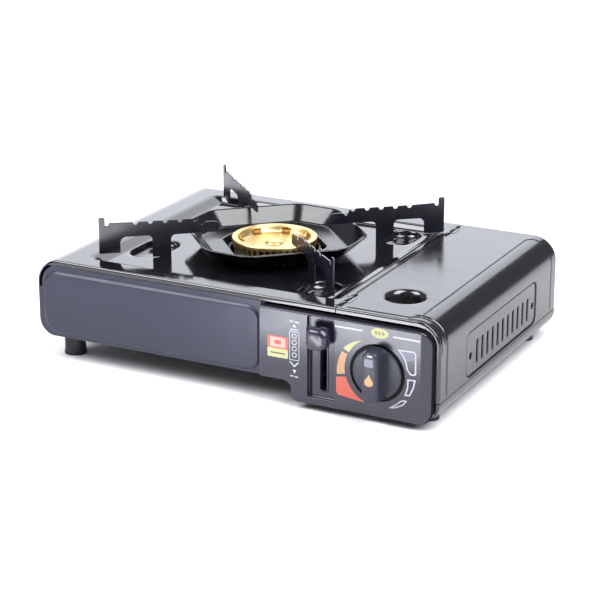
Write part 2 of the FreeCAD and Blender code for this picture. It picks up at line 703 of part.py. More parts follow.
def make_partition_plate():
    floor = BOX_FLOOR + SHEET
    plate = box(PARTITION_X, FRONT + 8, floor, PARTITION_X + SHEET, BACK - 3, TOP - 5)
    windows = [
        box(PARTITION_X - 1, -94, 22, PARTITION_X + 2, -81, 62),
        box(PARTITION_X - 1, -96, 64, PARTITION_X + 2, -74, 76),
        box(PARTITION_X - 1, 39, LEFT_FLOOR + 1, PARTITION_X + 2, 71, LEFT_FLOOR + 4),
        box(PARTITION_X - 1, -112, floor - 1, PARTITION_X + 2, -92, floor + 8),
    ]
    return without(plate, windows)


def make_canister_cradle():
    floor = BOX_FLOOR + SHEET
    base = box(101, -62, floor, 158, 104, floor + 1.2)
    seat = rod((CAN_X, -70, CAN_Z), (CAN_X, 110, CAN_Z), CAN_RADIUS + 0.3)
    saddles = []
    for y in (-62, 20, 100):
        saddles.append(prism([(101, floor, 0), (158, floor, 0), (161, 19, 2), (101, 19, 2)], "xz", y, y + 4))
    return joined([base] + saddles).cut(seat)


# --- feet and fasteners -----------------------------------------------------------
def make_left_feet():
    feet = []
    for y in (-100, 100):
        post = cone((-155, y, 0), (-155, y, LEFT_FLOOR), 8.7, 8.2)
        flare = rod((-155, y, 0), (-155, y, 2.2), 9)
        feet.append(joined([post, flare]))
    return Part.makeCompound(feet)


def make_right_feet():
    solid_body = prism(body_section(0), "xz", FRONT, BACK)
    pads = []
    for y in (-97, 97):
        pads.append(rod((158, y, 0), (158, y, 9), 7).cut(solid_body))
    return Part.makeCompound(pads)


def make_case_screws():
    heads = []
    for x, z in ((-160, 40), (-60, 74), (40, 74), (70, 14), (160, 20), (-60, 27)):
        head = rod((x, BACK - 1.6, z), (x, BACK - 0.2, z), 3.2)
        shank = rod((x, BACK - 2.6, z), (x, BACK - 1.6, z), 1.5)
        cross = box(x - 1.6, BACK - 0.8, z - 0.3, x + 1.6, BACK, z + 0.3)
        upright = box(x - 0.3, BACK - 0.8, z - 1.6, x + 0.3, BACK, z + 1.6)
        heads.append(without(joined([head, shank]), [cross, upright]))
    return heads


def make_regulator_screws():
    screws = []
    for side in (-1, 1):
        z = KNOB_Z + side * 22.5
        head = rod((KNOB_X, -114.2, z), (KNOB_X, -112, z), 3)
        shank = rod((KNOB_X, -112, z), (KNOB_X, -109, z), 1.7)
        screws.append(joined([head, shank]))
    return Part.makeCompound(screws)


def build():
    arms = make_arms()
    burner_body = make_burner_body()
    bracket, post = make_burner_bracket(burner_body)
    insulator, electrode = make_igniter()
    lever = make_lock_lever()
    screws = make_case_screws()
    nodes["body_tray"] = make_body_tray()
    nodes["front_panel"] = make_front_panel()
    nodes["back_panel"] = without(make_back_panel(), screws)
    nodes["control_panel"] = make_control_panel()
    nodes["top_plate"] = make_top_plate()
    nodes["canister_lid"] = make_lid()
    nodes["lid_hinge_pins"] = make_lid_hinge_pins()
    nodes["trivet_dish"] = make_trivet_dish(list(arms.values()))
    nodes.update(arms)
    nodes["burner_cap"] = make_burner_cap()
    nodes["burner_body"] = burner_body
    nodes["burner_collar"] = make_burner_collar()
    nodes["mixing_tube"] = make_mixing_tube()
    nodes["jet_nozzle"] = make_jet_nozzle()
    nodes["burner_bracket"] = bracket
    nodes["tube_post"] = post
    nodes["heat_transfer_plate"] = make_heat_plate()
    nodes["igniter_insulator"] = insulator
    nodes["igniter_electrode"] = electrode
    nodes["ignition_wire"] = make_ignition_wire()
    nodes["gas_pipe"] = make_gas_pipe()
    nodes["regulator_body"] = make_regulator_body()
    nodes["regulator_screws"] = make_regulator_screws()
    nodes["valve_stem"] = make_valve_stem()
    nodes["stem_cam"] = make_stem_cam()
    nodes["control_knob"] = make_knob()
    nodes["piezo_housing"] = make_piezo_housing()
    nodes["piezo_plunger"] = make_piezo_plunger()
    nodes["lock_lever"] = lever
    nodes["lever_thumb"] = make_lever_thumb(lever)
    y, z = LEVER_PIVOT
    nodes["lever_drive_pin"] = rod((80.8, y, z + DRIVE_RADIUS), (88, y, z + DRIVE_RADIUS), 2)
    nodes["lever_pivot_pin"] = rod((76.5, y, z), (91, y, z), LEVER_PIN)
    nodes["lever_bracket"] = make_lever_bracket()
    nodes["lever_spring"] = make_lever_spring()
    nodes["canister_carrier"] = make_canister_carrier()
    nodes["partition_plate"] = make_partition_plate()
    nodes["canister_cradle"] = make_canister_cradle()
    nodes["left_feet"] = make_left_feet()
    nodes["right_feet"] = make_right_feet()
    nodes["case_screws"] = Part.makeCompound(screws)


build()
os.makedirs("parts", exist_ok=True)
for name, shape in nodes.items():
    shape = shape.translated(FreeCAD.Vector(0, BODY_Y, 0))
    shape.exportStep("parts/" + name + ".step")
    print(name, len(shape.Solids), round(shape.Volume), shape.isValid())
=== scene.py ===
import math

import bpy
import numpy as np
from mathutils import Euler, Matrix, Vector
from mathutils.geometry import delaunay_2d_cdt


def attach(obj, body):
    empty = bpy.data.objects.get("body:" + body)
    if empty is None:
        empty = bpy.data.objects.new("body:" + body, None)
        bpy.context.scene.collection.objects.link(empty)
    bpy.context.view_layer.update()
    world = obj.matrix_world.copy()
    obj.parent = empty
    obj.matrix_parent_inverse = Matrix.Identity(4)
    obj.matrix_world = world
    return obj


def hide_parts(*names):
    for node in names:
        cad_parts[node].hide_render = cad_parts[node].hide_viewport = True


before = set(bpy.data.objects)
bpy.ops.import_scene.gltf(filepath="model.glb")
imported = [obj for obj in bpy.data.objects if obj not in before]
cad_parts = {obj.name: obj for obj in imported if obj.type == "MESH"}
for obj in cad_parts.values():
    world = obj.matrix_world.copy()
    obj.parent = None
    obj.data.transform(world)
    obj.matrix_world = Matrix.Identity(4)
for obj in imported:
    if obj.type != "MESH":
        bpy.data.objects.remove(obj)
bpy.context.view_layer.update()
scene = bpy.context.scene

# Lengths are millimetres with Y = 0 at the middle of the case; BODY_Y moves them into the shared frame.
MM = 0.001
BODY_Y = 10.0
FRONT, BACK = -120.0, 120.0
RIGHT = 175.0
TOP = 83.3
CORNER = 20.0
CORNER_X = RIGHT - CORNER
CORNER_Z = TOP - CORNER
CORNER_ARC = CORNER * math.pi / 2
FOLD = 1.6
FOLD_ARC = FOLD * math.pi / 2
FOLD_RUN = 2.2
FOLD_END = BACK - FOLD + FOLD_ARC + FOLD_RUN
FOLD_SPANS = ((BACK - FOLD, FOLD_END - FOLD_RUN, 0.42), (FOLD_END - FOLD_RUN, FOLD_END, 1.1))
SHEET = 0.9
SEAM_LOW = 60.0
HINGE_X, HINGE_Z = 90.2, 82.8
LID_EDGE, LID_LOW = 90.5, 22.3
PANEL_SPLIT = 28.0
PANEL_FACE = -125.5
STEP_IN = 55.4
BEVEL_X, BEVEL_SLOPE = 161.6, 0.4
CHANNEL_FLOOR = PANEL_FACE + 3.05
DIAL_FLOOR = PANEL_FACE + 1.2
BURNER_X = -24.5
RECESS = (-138.0, -102.0, 83.5, 102.0)
RECESS_DEPTH = 4.7
SIDE_SLOPE, END_SLOPE = 10.0, 5.0
KNOB_X, KNOB_Z = 127.2, 40.2
DISC_RADIUS, DIAL_RADIUS = 19.7, 22.4
KNOB_FRONT = -139.9
ARM_ANGLE, TRIVET_TURN = 41.75, -2.25
ARM_TIP, ARM_TOP, OUTER_FOOT = 143.0, 113.9, 84.0
DISH_RIM, DISH_FLOOR = 95.8, 83.6


# --- mesh helpers -----------------------------------------------------------------
class Build:
    """The vertices, in millimetres, and the faces of one piece."""

    def __init__(self):
        self.points = []
        self.faces = []

    def add(self, points):
        """Adds the points and returns their numbers."""
        start = len(self.points)
        self.points.extend(tuple(float(c) for c in p) for p in points)
        return list(range(start, len(self.points)))

    def band(self, a, b, closed=True):
        """Quads between two loops of equal length."""
        count = len(a)
        for i in range(count if closed else count - 1):
            j = (i + 1) % count
            self.faces.append((a[i], a[j], b[j], b[i]))

    def loft(self, rings, cap_start=False, cap_end=False, closed=True):
        """Bands through rings of equal length; returns the numbers of each ring's points."""
        loops = [self.add(r) for r in rings]
        for a, b in zip(loops, loops[1:]):
            self.band(a, b, closed)
        if cap_start:
            self.faces.append(tuple(reversed(loops[0])))
        if cap_end:
            self.faces.append(tuple(loops[-1]))
        return loops

    def fan(self, loop, tip):
        """Triangles from a loop to one point."""
        centre = self.add([tip])[0]
        for i, a in enumerate(loop):
            self.faces.append((a, loop[(i + 1) % len(loop)], centre))

    def flat(self, contours, lift, extra=()):
        """A flat face with holes: the first contour is the outside, and extra holds lines to cut along."""
        flat_points, edges = [], []
        for ring in contours:
            start = len(flat_points)
            flat_points += [Vector((u, v)) for u, v in ring]
            edges += [(start + i, start + (i + 1) % len(ring)) for i in range(len(ring))]
        for a, b in extra:
            edges.append((len(flat_points), len(flat_points) + 1))
            flat_points += [Vector(a), Vector(b)]
        verts, _, faces = delaunay_2d_cdt(flat_points, edges, [], 1, 1e-5)[:3]
        kept = []
        for f in faces:
            mid = sum((verts[i] for i in f), Vector((0, 0))) / len(f)
            if inside(mid, contours[0]) and not any(inside(mid, h) for h in contours[1:]):
                kept.append(f)
        used = sorted({i for f in kept for i in f})
        ids = dict(zip(used, self.add([lift(verts[i].x, verts[i].y) for i in used])))
        self.faces += [tuple(ids[i] for i in f) for f in kept]

    def move(self, shift, turn):
        """Turns every point about the Z axis, then shifts it."""
        c, s = math.cos(turn), math.sin(turn)
        turned = [(x * c - y * s, x * s + y * c, z) for x, y, z in self.points]
        self.points = [tuple(np.array(p) + shift) for p in turned]
        return self

    def merge(self, other):
        start = len(self.points)
        self.points += other.points
        self.faces += [tuple(i + start for i in f) for f in other.faces]


def inside(p, ring):
    """True if the point lies within the closed outline."""
    hit = False
    for i, (x1, y1) in enumerate(ring):
        x0, y0 = ring[i - 1]
        if (y0 > p[1]) != (y1 > p[1]) and p[0] < (x1 - x0) * (p[1] - y0) / (y1 - y0) + x0:
            hit = not hit
    return hit


def rounded(corners, steps):
    """A closed outline through (u, v, radius) corners, with the same count at each corner."""
    ring = []
    for i, (u, v, radius) in enumerate(corners):
        here = Vector((u, v))
        last = (Vector(corners[i - 1][:2]) - here).normalized()
        ahead = (Vector(corners[(i + 1) % len(corners)][:2]) - here).normalized()
        half = last.angle(ahead) / 2
        radius = max(radius, 0.01)
        middle = (last + ahead).normalized()
        centre = here + middle * (radius / math.sin(half))
        start = here + last * (radius / math.tan(half)) - centre
        sweep = math.pi - 2 * half
        sign = 1 if last.x * ahead.y - last.y * ahead.x < 0 else -1
        for k in range(steps + 1):
            turn = sign * sweep * k / steps
            c, s = math.cos(turn), math.sin(turn)
            ring.append((centre.x + start.x * c - start.y * s, centre.y + start.x * s + start.y * c))
    return ring


def box_outline(x0, y0, x1, y1, radius):
    return [(x0, y0, radius), (x1, y0, radius), (x1, y1, radius), (x0, y1, radius)]


def ellipse(x, y, a, b, count):
    turns = [math.tau * i / count for i in range(count)]
    return [(x + a * math.cos(turn), y + b * math.sin(turn)) for turn in turns]


def circle(x, y, radius, count):
    return ellipse(x, y, radius, radius, count)


def arc(x, z, radius, start, end, steps=10):
    """Points on a circle from start to end degrees."""
    turns = [math.radians(start + (end - start) * i / steps) for i in range(steps + 1)]
    return [(x + radius * math.cos(turn), z + radius * math.sin(turn)) for turn in turns]


def upright(outline, y):
    """An outline of X and Z stood up at one Y."""
    return [(x, y, z) for x, z in outline]


def inset(ring, width):
    """The outline moved inward, to the left of its direction of travel."""
    out = []
    for i, p in enumerate(ring):
        a, b, c = Vector(ring[i - 1]), Vector(p), Vector(ring[(i + 1) % len(ring)])
        d0, d1 = (b - a).normalized(), (c - b).normalized()
        n0, n1 = Vector((-d0.y, d0.x)), Vector((-d1.y, d1.x))
        middle = (n0 + n1).normalized()
        out.append(tuple(b + middle * (width / max(middle.dot(n1), 0.3))))
    return out


def lines(*spans):
    """Sorted grid lines from (start, end, largest step) spans."""
    values = []
    for start, end, step in spans:
        count = max(1, math.ceil((end - start) / step - 1e-6))
        values += [start + (end - start) * i / count for i in range(count + 1)]
    values.sort()
    kept = [values[0]]
    for v in values[1:]:
        if v - kept[-1] > 1e-4:
            kept.append(v)
    return np.array(kept)


def nearest(values, at):
    return int(np.argmin(abs(values - at)))


def ease(t):
    t = np.clip(t, 0, 1)
    return t * t * (3 - 2 * t)


# --- pieces -----------------------------------------------------------------------
def piece(name, build, mat, body, replaces=(), sharp=38, solid=0.0, weighted=False):
    """Makes the object, gives it thickness and shading, and puts it on its CAD body."""
    mesh = bpy.data.meshes.new(name)
    points = (np.array(build.points) + (0, BODY_Y, 0)) * MM
    mesh.from_pydata([tuple(p) for p in points], [], build.faces)
    mesh.validate()
    mesh.materials.append(mat)
    obj = bpy.data.objects.new(name, mesh)
    scene.collection.objects.link(obj)
    if solid:
        thick = obj.modifiers.new("sheet", "SOLIDIFY")
        thick.thickness = solid * MM
        thick.offset = -1
        graph = bpy.context.evaluated_depsgraph_get()
        baked = bpy.data.meshes.new_from_object(obj.evaluated_get(graph))
        obj.modifiers.clear()
        obj.data = baked
        baked.name = name
    obj.data.shade_smooth()
    obj.data.set_sharp_from_angle(angle=math.radians(sharp))
    if weighted:
        even = obj.modifiers.new("even", "WEIGHTED_NORMAL")
        even.keep_sharp = True
        even.weight = 80
    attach(obj, body)
    if replaces:
        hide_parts(*replaces)


# --- materials --------------------------------------------------------------------
def nodes_of(name):
    mat = bpy.data.materials.new(name)
    mat.use_nodes = True
    tree = mat.node_tree
    shader = tree.nodes["Principled BSDF"]
    place = tree.nodes.new("ShaderNodeTexCoord")
    return mat, tree, shader, place.outputs["Object"]


def put(node, values):
    """Sets a node's input sockets to constants."""
    for socket, value in values.items():
        node.inputs[socket].default_value = value


def noise(tree, place, scale, detail, stretch=None):
    tex = tree.nodes.new("ShaderNodeTexNoise")
    put(tex, {"Scale": scale, "Detail": detail})
    if stretch:
        squeeze = tree.nodes.new("ShaderNodeMapping")
        put(squeeze, {"Scale": stretch})
        tree.links.new(place, squeeze.inputs["Vector"])
        place = squeeze.outputs["Vector"]
    tree.links.new(place, tex.inputs["Vector"])
    return tex.outputs["Fac"]


def spread(tree, value, low, high, start=0.3, end=0.7):
    node = tree.nodes.new("ShaderNodeMapRange")
    put(node, {"From Min": start, "From Max": end, "To Min": low, "To Max": high})
    tree.links.new(value, node.inputs["Value"])
    return node.outputs["Result"]


def mixed(tree, factor, first, second):
    node = tree.nodes.new("ShaderNodeMix")
    node.data_type = "RGBA"
    tree.links.new(factor, node.inputs["Factor"])
    for socket, value in ((node.inputs["A"], first), (node.inputs["B"], second)):
        if isinstance(value, tuple):
            socket.default_value = (*value, 1)
        else:
            tree.links.new(value, socket)
    return node.outputs["Result"]


def finish(name, colour, rough, metal=0.0, ior=1.5, shade=0.12, rough_range=0.05, peel=(900, 0.02),
           grain=None, wear=None, stretch=None, specular=0.5):
    """A procedural finish: uneven colour, smudged roughness, a fine surface relief and worn edges.

    peel is the scale and the height in mm of the relief; grain swaps its noise for small cells.
    """
    mat, tree, shader, place = nodes_of(name)
    put(shader, {"Metallic": metal, "IOR": ior, "Specular IOR Level": specular})
    broad = noise(tree, place, 22, 4.0, stretch)
    low = tuple(c * (1 - shade) for c in colour)
    high = tuple(c * (1 + shade) for c in colour)
    tone = mixed(tree, spread(tree, broad, 0, 1), low, high)
    smudge = noise(tree, place, 70, 5.0, stretch)
    roughness = spread(tree, smudge, rough - rough_range, rough + rough_range)
    if wear:
        relief = tree.nodes.new("ShaderNodeNewGeometry").outputs["Pointiness"]
        edge = spread(tree, relief, 0, 1, 0.53, 0.6)
        speckle = spread(tree, noise(tree, place, 420, 2.0), 0, 1, 0.42, 0.62)
        both = tree.nodes.new("ShaderNodeMath")
        both.operation = "MULTIPLY"
        tree.links.new(edge, both.inputs[0])
        tree.links.new(speckle, both.inputs[1])
        tone = mixed(tree, both.outputs["Value"], tone, wear)
    tree.links.new(tone, shader.inputs["Base Color"])
    tree.links.new(roughness, shader.inputs["Roughness"])
    bump = tree.nodes.new("ShaderNodeBump")
    put(bump, {"Strength": 1.0, "Distance": peel[1] * MM})
    if grain:
        cells = tree.nodes.new("ShaderNodeTexVoronoi")
        cells.feature = "SMOOTH_F1"
        put(cells, {"Scale": grain})
        tree.links.new(place, cells.inputs["Vector"])
        tree.links.new(cells.outputs["Distance"], bump.inputs["Height"])
    else:
        tree.links.new(noise(tree, place, peel[0], 2.0, stretch), bump.inputs["Height"])
    tree.links.new(bump.outputs["Normal"], shader.inputs["Normal"])
    return mat


# Flat finishes for print, and for the painted shade and painted highlight decals.
def ink_and_painted_light_finish(name, colour, rough=0.45, specular=0.5):
    return finish(name, colour, rough, shade=0.06, peel=(1500, 0.01), specular=specular)


ENAMEL = finish("top_enamel", (0.005, 0.005, 0.0065), 0.1, ior=1.75, rough_range=0.03,
                peel=(260, 0.012), wear=(0.06, 0.06, 0.065))
LID_PAINT = finish("case_enamel", (0.006, 0.006, 0.008), 0.19, ior=1.8, rough_range=0.03,
                   peel=(420, 0.014), wear=(0.07, 0.07, 0.08))
TRAY_PAINT = finish("tray_enamel", (0.008, 0.008, 0.011), 0.24, ior=1.7, rough_range=0.04, peel=(420, 0.014))
TRIVET = finish("trivet_enamel", (0.003, 0.003, 0.004), 0.2, ior=1.6, rough_range=0.03,
                peel=(300, 0.012), wear=(0.04, 0.04, 0.045))
ARM_PAINT = finish("arm_enamel", (0.008, 0.008, 0.015), 0.24, ior=1.6, rough_range=0.04,
                   peel=(700, 0.012), wear=(0.05, 0.05, 0.06))
FRONT_PAINT = finish("front_paint", (0.023, 0.024, 0.048), 0.42, rough_range=0.04,
                     peel=(1500, 0.02), wear=(0.1, 0.1, 0.12))
PLASTIC = finish("control_plastic", (0.016, 0.015, 0.033), 0.22, ior=1.6, rough_range=0.03,
                 peel=(900, 0.006), grain=2600)
KNOB_PLASTIC = finish("knob_plastic", (0.018, 0.019, 0.034), 0.38, rough_range=0.04,
                      peel=(900, 0.008), grain=3200)
BRASS = finish("burner_brass", (0.78, 0.58, 0.27), 0.38, metal=1.0, shade=0.1, rough_range=0.08,
               peel=(1200, 0.03))
PORT_BRASS = finish("port_brass", (0.3, 0.16, 0.045), 0.5, metal=1.0, shade=0.2, rough_range=0.1,
                    peel=(1200, 0.03))
# Painted shade: a very dark brass for what is seen through the notches between the crown's teeth.
NOTCH_SHADE = finish("painted_notch_shade", (0.05, 0.028, 0.012), 0.6, metal=0.6, rough_range=0.1, peel=(1200, 0.03))
ALLOY = finish("cast_alloy", (0.36, 0.36, 0.37), 0.5, metal=0.9, rough_range=0.1, peel=(700, 0.08))
DARK_STEEL = finish("dark_steel", (0.03, 0.03, 0.032), 0.35, metal=0.4, rough_range=0.08, peel=(600, 0.03))
ZINC = finish("zinc_steel", (0.55, 0.56, 0.58), 0.38, metal=1.0, shade=0.06, peel=(500, 0.008),
              stretch=(1, 12, 1))
COPPER = finish("gas_copper", (0.72, 0.33, 0.17), 0.3, metal=1.0, shade=0.2, rough_range=0.1,
                peel=(500, 0.03))
CERAMIC = finish("igniter_ceramic", (0.75, 0.73, 0.68), 0.3, peel=(800, 0.02))
PIEZO = finish("piezo_plastic", (0.2, 0.02, 0.015), 0.4, grain=2600)
WIRE = finish("wire_jacket", (0.55, 0.08, 0.05), 0.4)
RUBBER = finish("foot_rubber", (0.018, 0.018, 0.021), 0.6, rough_range=0.1, peel=(900, 0.05), grain=1500)
# Painted shade: a flat dark laid in seams and pressed grooves where shade falls.
GROOVE_SHADE = finish("painted_groove_shade", (0.006, 0.006, 0.008), 0.7, shade=0.1, peel=(900, 0.01), specular=0.25)
WHITE_INK_AND_GLINT = ink_and_painted_light_finish("white_ink_and_glint", (0.5, 0.5, 0.57))
PINK_INK = ink_and_painted_light_finish("pink_ink", (0.52, 0.36, 0.33))
GREY_INK = ink_and_painted_light_finish("grey_ink", (0.2, 0.2, 0.27))
RED_INK = ink_and_painted_light_finish("red_ink", (0.55, 0.1, 0.07))
ORANGE_INK = ink_and_painted_light_finish("orange_ink", (0.52, 0.3, 0.15))
YELLOW_INK = ink_and_painted_light_finish("yellow_ink", (0.46, 0.45, 0.22))
OLIVE_INK = ink_and_painted_light_finish("olive_ink", (0.2, 0.2, 0.09))
DARK_INK = ink_and_painted_light_finish("dark_ink", (0.05, 0.05, 0.04))
# Painted shade: a flat black laid in gaps and on a channel wall where shade falls.
SHADE_BLACK = ink_and_painted_light_finish("painted_shade_black", (0.004, 0.004, 0.004), 0.6, 0.2)

# The CAD nodes that no visual piece stands in for, with their finishes.
NODE_FINISH = (
    (TRAY_PAINT, ("body_tray", "back_panel")),
    (ALLOY, ("burner_body", "regulator_body")),
    (DARK_STEEL, ("burner_collar", "case_screws")),
    (BRASS, ("jet_nozzle", "valve_stem")),
    (CERAMIC, ("igniter_insulator",)),
    (WIRE, ("ignition_wire",)),
    (COPPER, ("gas_pipe",)),
    (PIEZO, ("piezo_housing",)),
    (RUBBER, ("left_feet", "right_feet")),
    (ZINC, ("lid_hinge_pins", "mixing_tube", "burner_bracket", "tube_post", "heat_transfer_plate",
            "igniter_electrode", "regulator_screws", "stem_cam", "piezo_plunger", "lock_lever",
            "lever_drive_pin", "lever_pivot_pin", "lever_bracket", "lever_spring", "canister_carrier",
            "partition_plate", "canister_cradle")),
)
for paint, names in NODE_FINISH:
    for node in names:
        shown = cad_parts[node]
        shown.data.materials.clear()
        shown.data.materials.append(paint)


# --- pressed sheets that follow the body's section ---------------------------------
def section(s):
    """Place and outward direction at a length s along the body's upper outline; s is X on the flat top."""
    side = np.sign(s)
    past = np.abs(s) - CORNER_X
    turn = np.clip(past / CORNER, 0, math.pi / 2)
    drop = np.maximum(past - CORNER_ARC, 0)
    x = np.where(past > 0, side * (CORNER_X + CORNER * np.sin(turn)), s)
    z = np.where(past > 0, CORNER_Z + CORNER * np.cos(turn) - drop, TOP)
    return x, z, side * np.sin(turn), np.cos(turn)


def folded(v):
    """Y and inward inset at a length v across the sheet, which folds inward at the front and back."""
    past = np.abs(v) - (BACK - FOLD)
    turn = np.clip(past / FOLD, 0, math.pi / 2)
    run = np.maximum(past - FOLD_ARC, 0)
    y = np.where(past > 0, np.sign(v) * (BACK - FOLD + FOLD * np.sin(turn)), v)
    return y, np.where(past > 0, FOLD * (1 - np.cos(turn)) + run, 0)


def on_sheet(s, v, lift):
    """Points on the case's skin at lengths s and v, raised by lift along the outward direction."""
    x, z, nx, nz = section(s)
    y, depth = folded(v)
    out = lift - depth
    return np.stack((x + nx * out, y, z + nz * out), axis=-1)


def pressed_sheet(s_lines, v_lines, relief, patches):
    """A sheet of quads with pressed relief. Each patch opens a rectangle into rings round a core segment."""
    build = Build()
    grid_s, grid_v = np.meshgrid(s_lines, v_lines, indexing="ij")
    spots = on_sheet(grid_s, grid_v, relief(grid_s, grid_v))
    kept = np.ones((len(s_lines) - 1, len(v_lines) - 1), bool)
    used = np.zeros(grid_s.shape, bool)
    edges = []
    for patch in patches:
        s0, v0, s1, v1 = patch["rect"]
        i0, i1 = nearest(s_lines, s0), nearest(s_lines, s1)
        j0, j1 = nearest(v_lines, v0), nearest(v_lines, v1)
        kept[i0:i1, j0:j1] = False
        loop = [(i, j0) for i in range(i0, i1)] + [(i1, j) for j in range(j0, j1)]
        loop += [(i, j1) for i in range(i1, i0, -1)] + [(i0, j) for j in range(j1, j0, -1)]
        edges.append(loop)
    for i, j in zip(*np.nonzero(kept)):
        used[i:i + 2, j:j + 2] = True
    ids = -np.ones(grid_s.shape, int)
    ids[used] = build.add(spots[used])
    for i, j in zip(*np.nonzero(kept)):
        build.faces.append((ids[i, j], ids[i + 1, j], ids[i + 1, j + 1], ids[i, j + 1]))
    for patch, loop in zip(patches, edges):
        at = np.array([(s_lines[i], v_lines[j]) for i, j in loop])
        a, b = np.array(patch["core"][:2], float), np.array(patch["core"][2:], float)
        along = b - a
        share = np.clip(((at - a) @ along) / max(along @ along, 1e-9), 0, 1)
        core = a + share[:, None] * along
        out = at - core
        out /= np.linalg.norm(out, axis=1)[:, None]
        last = [int(ids[i, j]) for i, j in loop]
        for radius, depth in patch["rings"]:
            ring = core + out * radius
            level = np.full(len(ring), patch["level"] + depth)
            loop_ids = build.add(on_sheet(ring[:, 0], ring[:, 1], level))
            build.band(last, loop_ids)
            last = loop_ids
        if patch.get("closed"):
            tip = on_sheet(*((a + b) / 2), patch["level"] + patch["rings"][-1][1])
            build.fan(last, tip)
    return build


def rounded_box_distance(x, y, x0, y0, x1, y1, radius):
    """Signed distance to a rounded rectangle, negative inside."""
    qx = np.abs(x - (x0 + x1) / 2) - (x1 - x0) / 2 + radius
    qy = np.abs(y - (y0 + y1) / 2) - (y1 - y0) / 2 + radius
    return np.hypot(np.maximum(qx, 0), np.maximum(qy, 0)) + np.minimum(np.maximum(qx, qy), 0) - radius


def path_distance(s, v, route):
    """Distance from each grid point to a line through the route's points."""
    best = np.full(s.shape, 1e9)
    for (s0, v0), (s1, v1) in zip(route, route[1:]):
        ds, dv = s1 - s0, v1 - v0
        t = np.clip(((s - s0) * ds + (v - v0) * dv) / max(ds * ds + dv * dv, 1e-9), 0, 1)
        best = np.minimum(best, np.hypot(s - s0 - t * ds, v - v0 - t * dv))
    return best


def bent(start, corner, end, radius):
    """Points of a rounded right-angle turn between two straight runs."""
    steps = 8
    ring = rounded([(*start, 0), (*corner, radius), (*end, 0)], steps)
    return [start] + ring[steps + 1:2 * steps + 2] + [end]


def dent(distance, depth, width):
    """A pressed groove's relief at a distance from its middle line."""
    return -depth * np.exp(-(distance / width) ** 2)


# A well is (x, y, end radius, half of its straight run); rings are (radius or its change, depth).
LEFT_WELL, RIGHT_WELL = (-111.5, 44, 15.5, 10.5), (54.5, 75.5, 14.5, 6.5)
WELLS = [(x, side * y, wide, run) for x, y, wide, run in (LEFT_WELL, RIGHT_WELL) for side in (-1, 1)]
WELL_MARGIN = 0.3
WELL_RINGS = [(0.1, 0), (-0.3, -0.15), (-0.7, -0.6), (-1.0, -1.4), (-1.3, -2.4), (-1.7, -3.4),
              (-2.4, -4.4), (-3.6, -5.2), (-5.6, -5.7), (-8.5, -5.95), (-11.8, -6.0)]
HOLE_REACH = 46.0
HOLE_RINGS = [(44, 0), (43, -0.1), (42.2, -0.45), (41.5, -1.1), (41.1, -2.0), (41, -4.6)]
LIP_LINE = 0.3


def well_box(x, y, wide, run):
    out = wide + WELL_MARGIN
    return x - out, y - run - out, x + out, y + run + out


def top_relief(s, v):
    """The recess: a thin groove round its lip, then a gentle slope down to its floor."""
    x0, y0, x1, y1 = RECESS
    along = np.minimum(s - x0, x1 - s) / SIDE_SLOPE
    across = np.minimum(v - y0, y1 - v) / END_SLOPE
    share = np.clip(1 - np.hypot(np.clip(1 - along, 0, None), np.clip(1 - across, 0, None)), 0, 1)
    press = -RECESS_DEPTH * (0.75 * share + 0.25 * ease(share))
    lip = rounded_box_distance(s, v, x0, y0, x1, y1, 6)
    return press + dent(lip - LIP_LINE, 0.42, 0.65)


def build_top_shell():
    """The flat top with its left corner; the grid's spans meet the edges of the wells and the opening."""
    arc_end = -(CORNER_X + CORNER_ARC)
    left_end = arc_end - (CORNER_Z - SEAM_LOW)
    x0, _, x1, y1 = RECESS
    left_x0, left_y0, left_x1, left_y1 = well_box(*LEFT_WELL)
    right_x0, right_y0, right_x1, right_y1 = well_box(*RIGHT_WELL)
    hole_x0, hole_x1 = BURNER_X - HOLE_REACH, BURNER_X + HOLE_REACH
    s_lines = lines((left_end, arc_end, 4), (arc_end, -CORNER_X, 1.6), (-CORNER_X, x0 - 2, 3),
                    (x0 - 2, x0 + 2, 0.35), (x0 + 2, left_x0, 0.95), (left_x0, left_x1, 2),
                    (left_x1, hole_x0, 3.2), (hole_x0, hole_x1, 3.3), (hole_x1, right_x0, 3),
                    (right_x0, right_x1, 2), (right_x1, x1 - 10, 2.2), (x1 - 10, x1 - 2, 0.9),
                    (x1 - 2, x1 + 2, 0.35), (x1 + 2, HINGE_X - 0.6, 1))
    half = lines((0, left_y0, 3), (left_y0, HOLE_REACH, 2), (HOLE_REACH, right_y0, 2.1),
                 (right_y0, left_y1, 2), (left_y1, right_y1, 2), (right_y1, y1 - 2, 0.7),
                 (y1 - 2, y1 + 2, 0.35), (y1 + 2, BACK - FOLD, 2), *FOLD_SPANS)
    v_lines = np.concatenate((-half[:0:-1], half))
    patches = []
    for x, y, wide, run in WELLS:
        patches.append({"rect": well_box(x, y, wide, run), "core": (x, y - run, x, y + run),
                        "rings": [(wide + r, depth) for r, depth in WELL_RINGS],
                        "level": -RECESS_DEPTH, "closed": True})
    patches.append({"rect": (hole_x0, -HOLE_REACH, hole_x1, HOLE_REACH), "core": (BURNER_X, 0, BURNER_X, 0),
                    "rings": HOLE_RINGS, "level": -RECESS_DEPTH})
    return pressed_sheet(s_lines, v_lines, top_relief, patches)


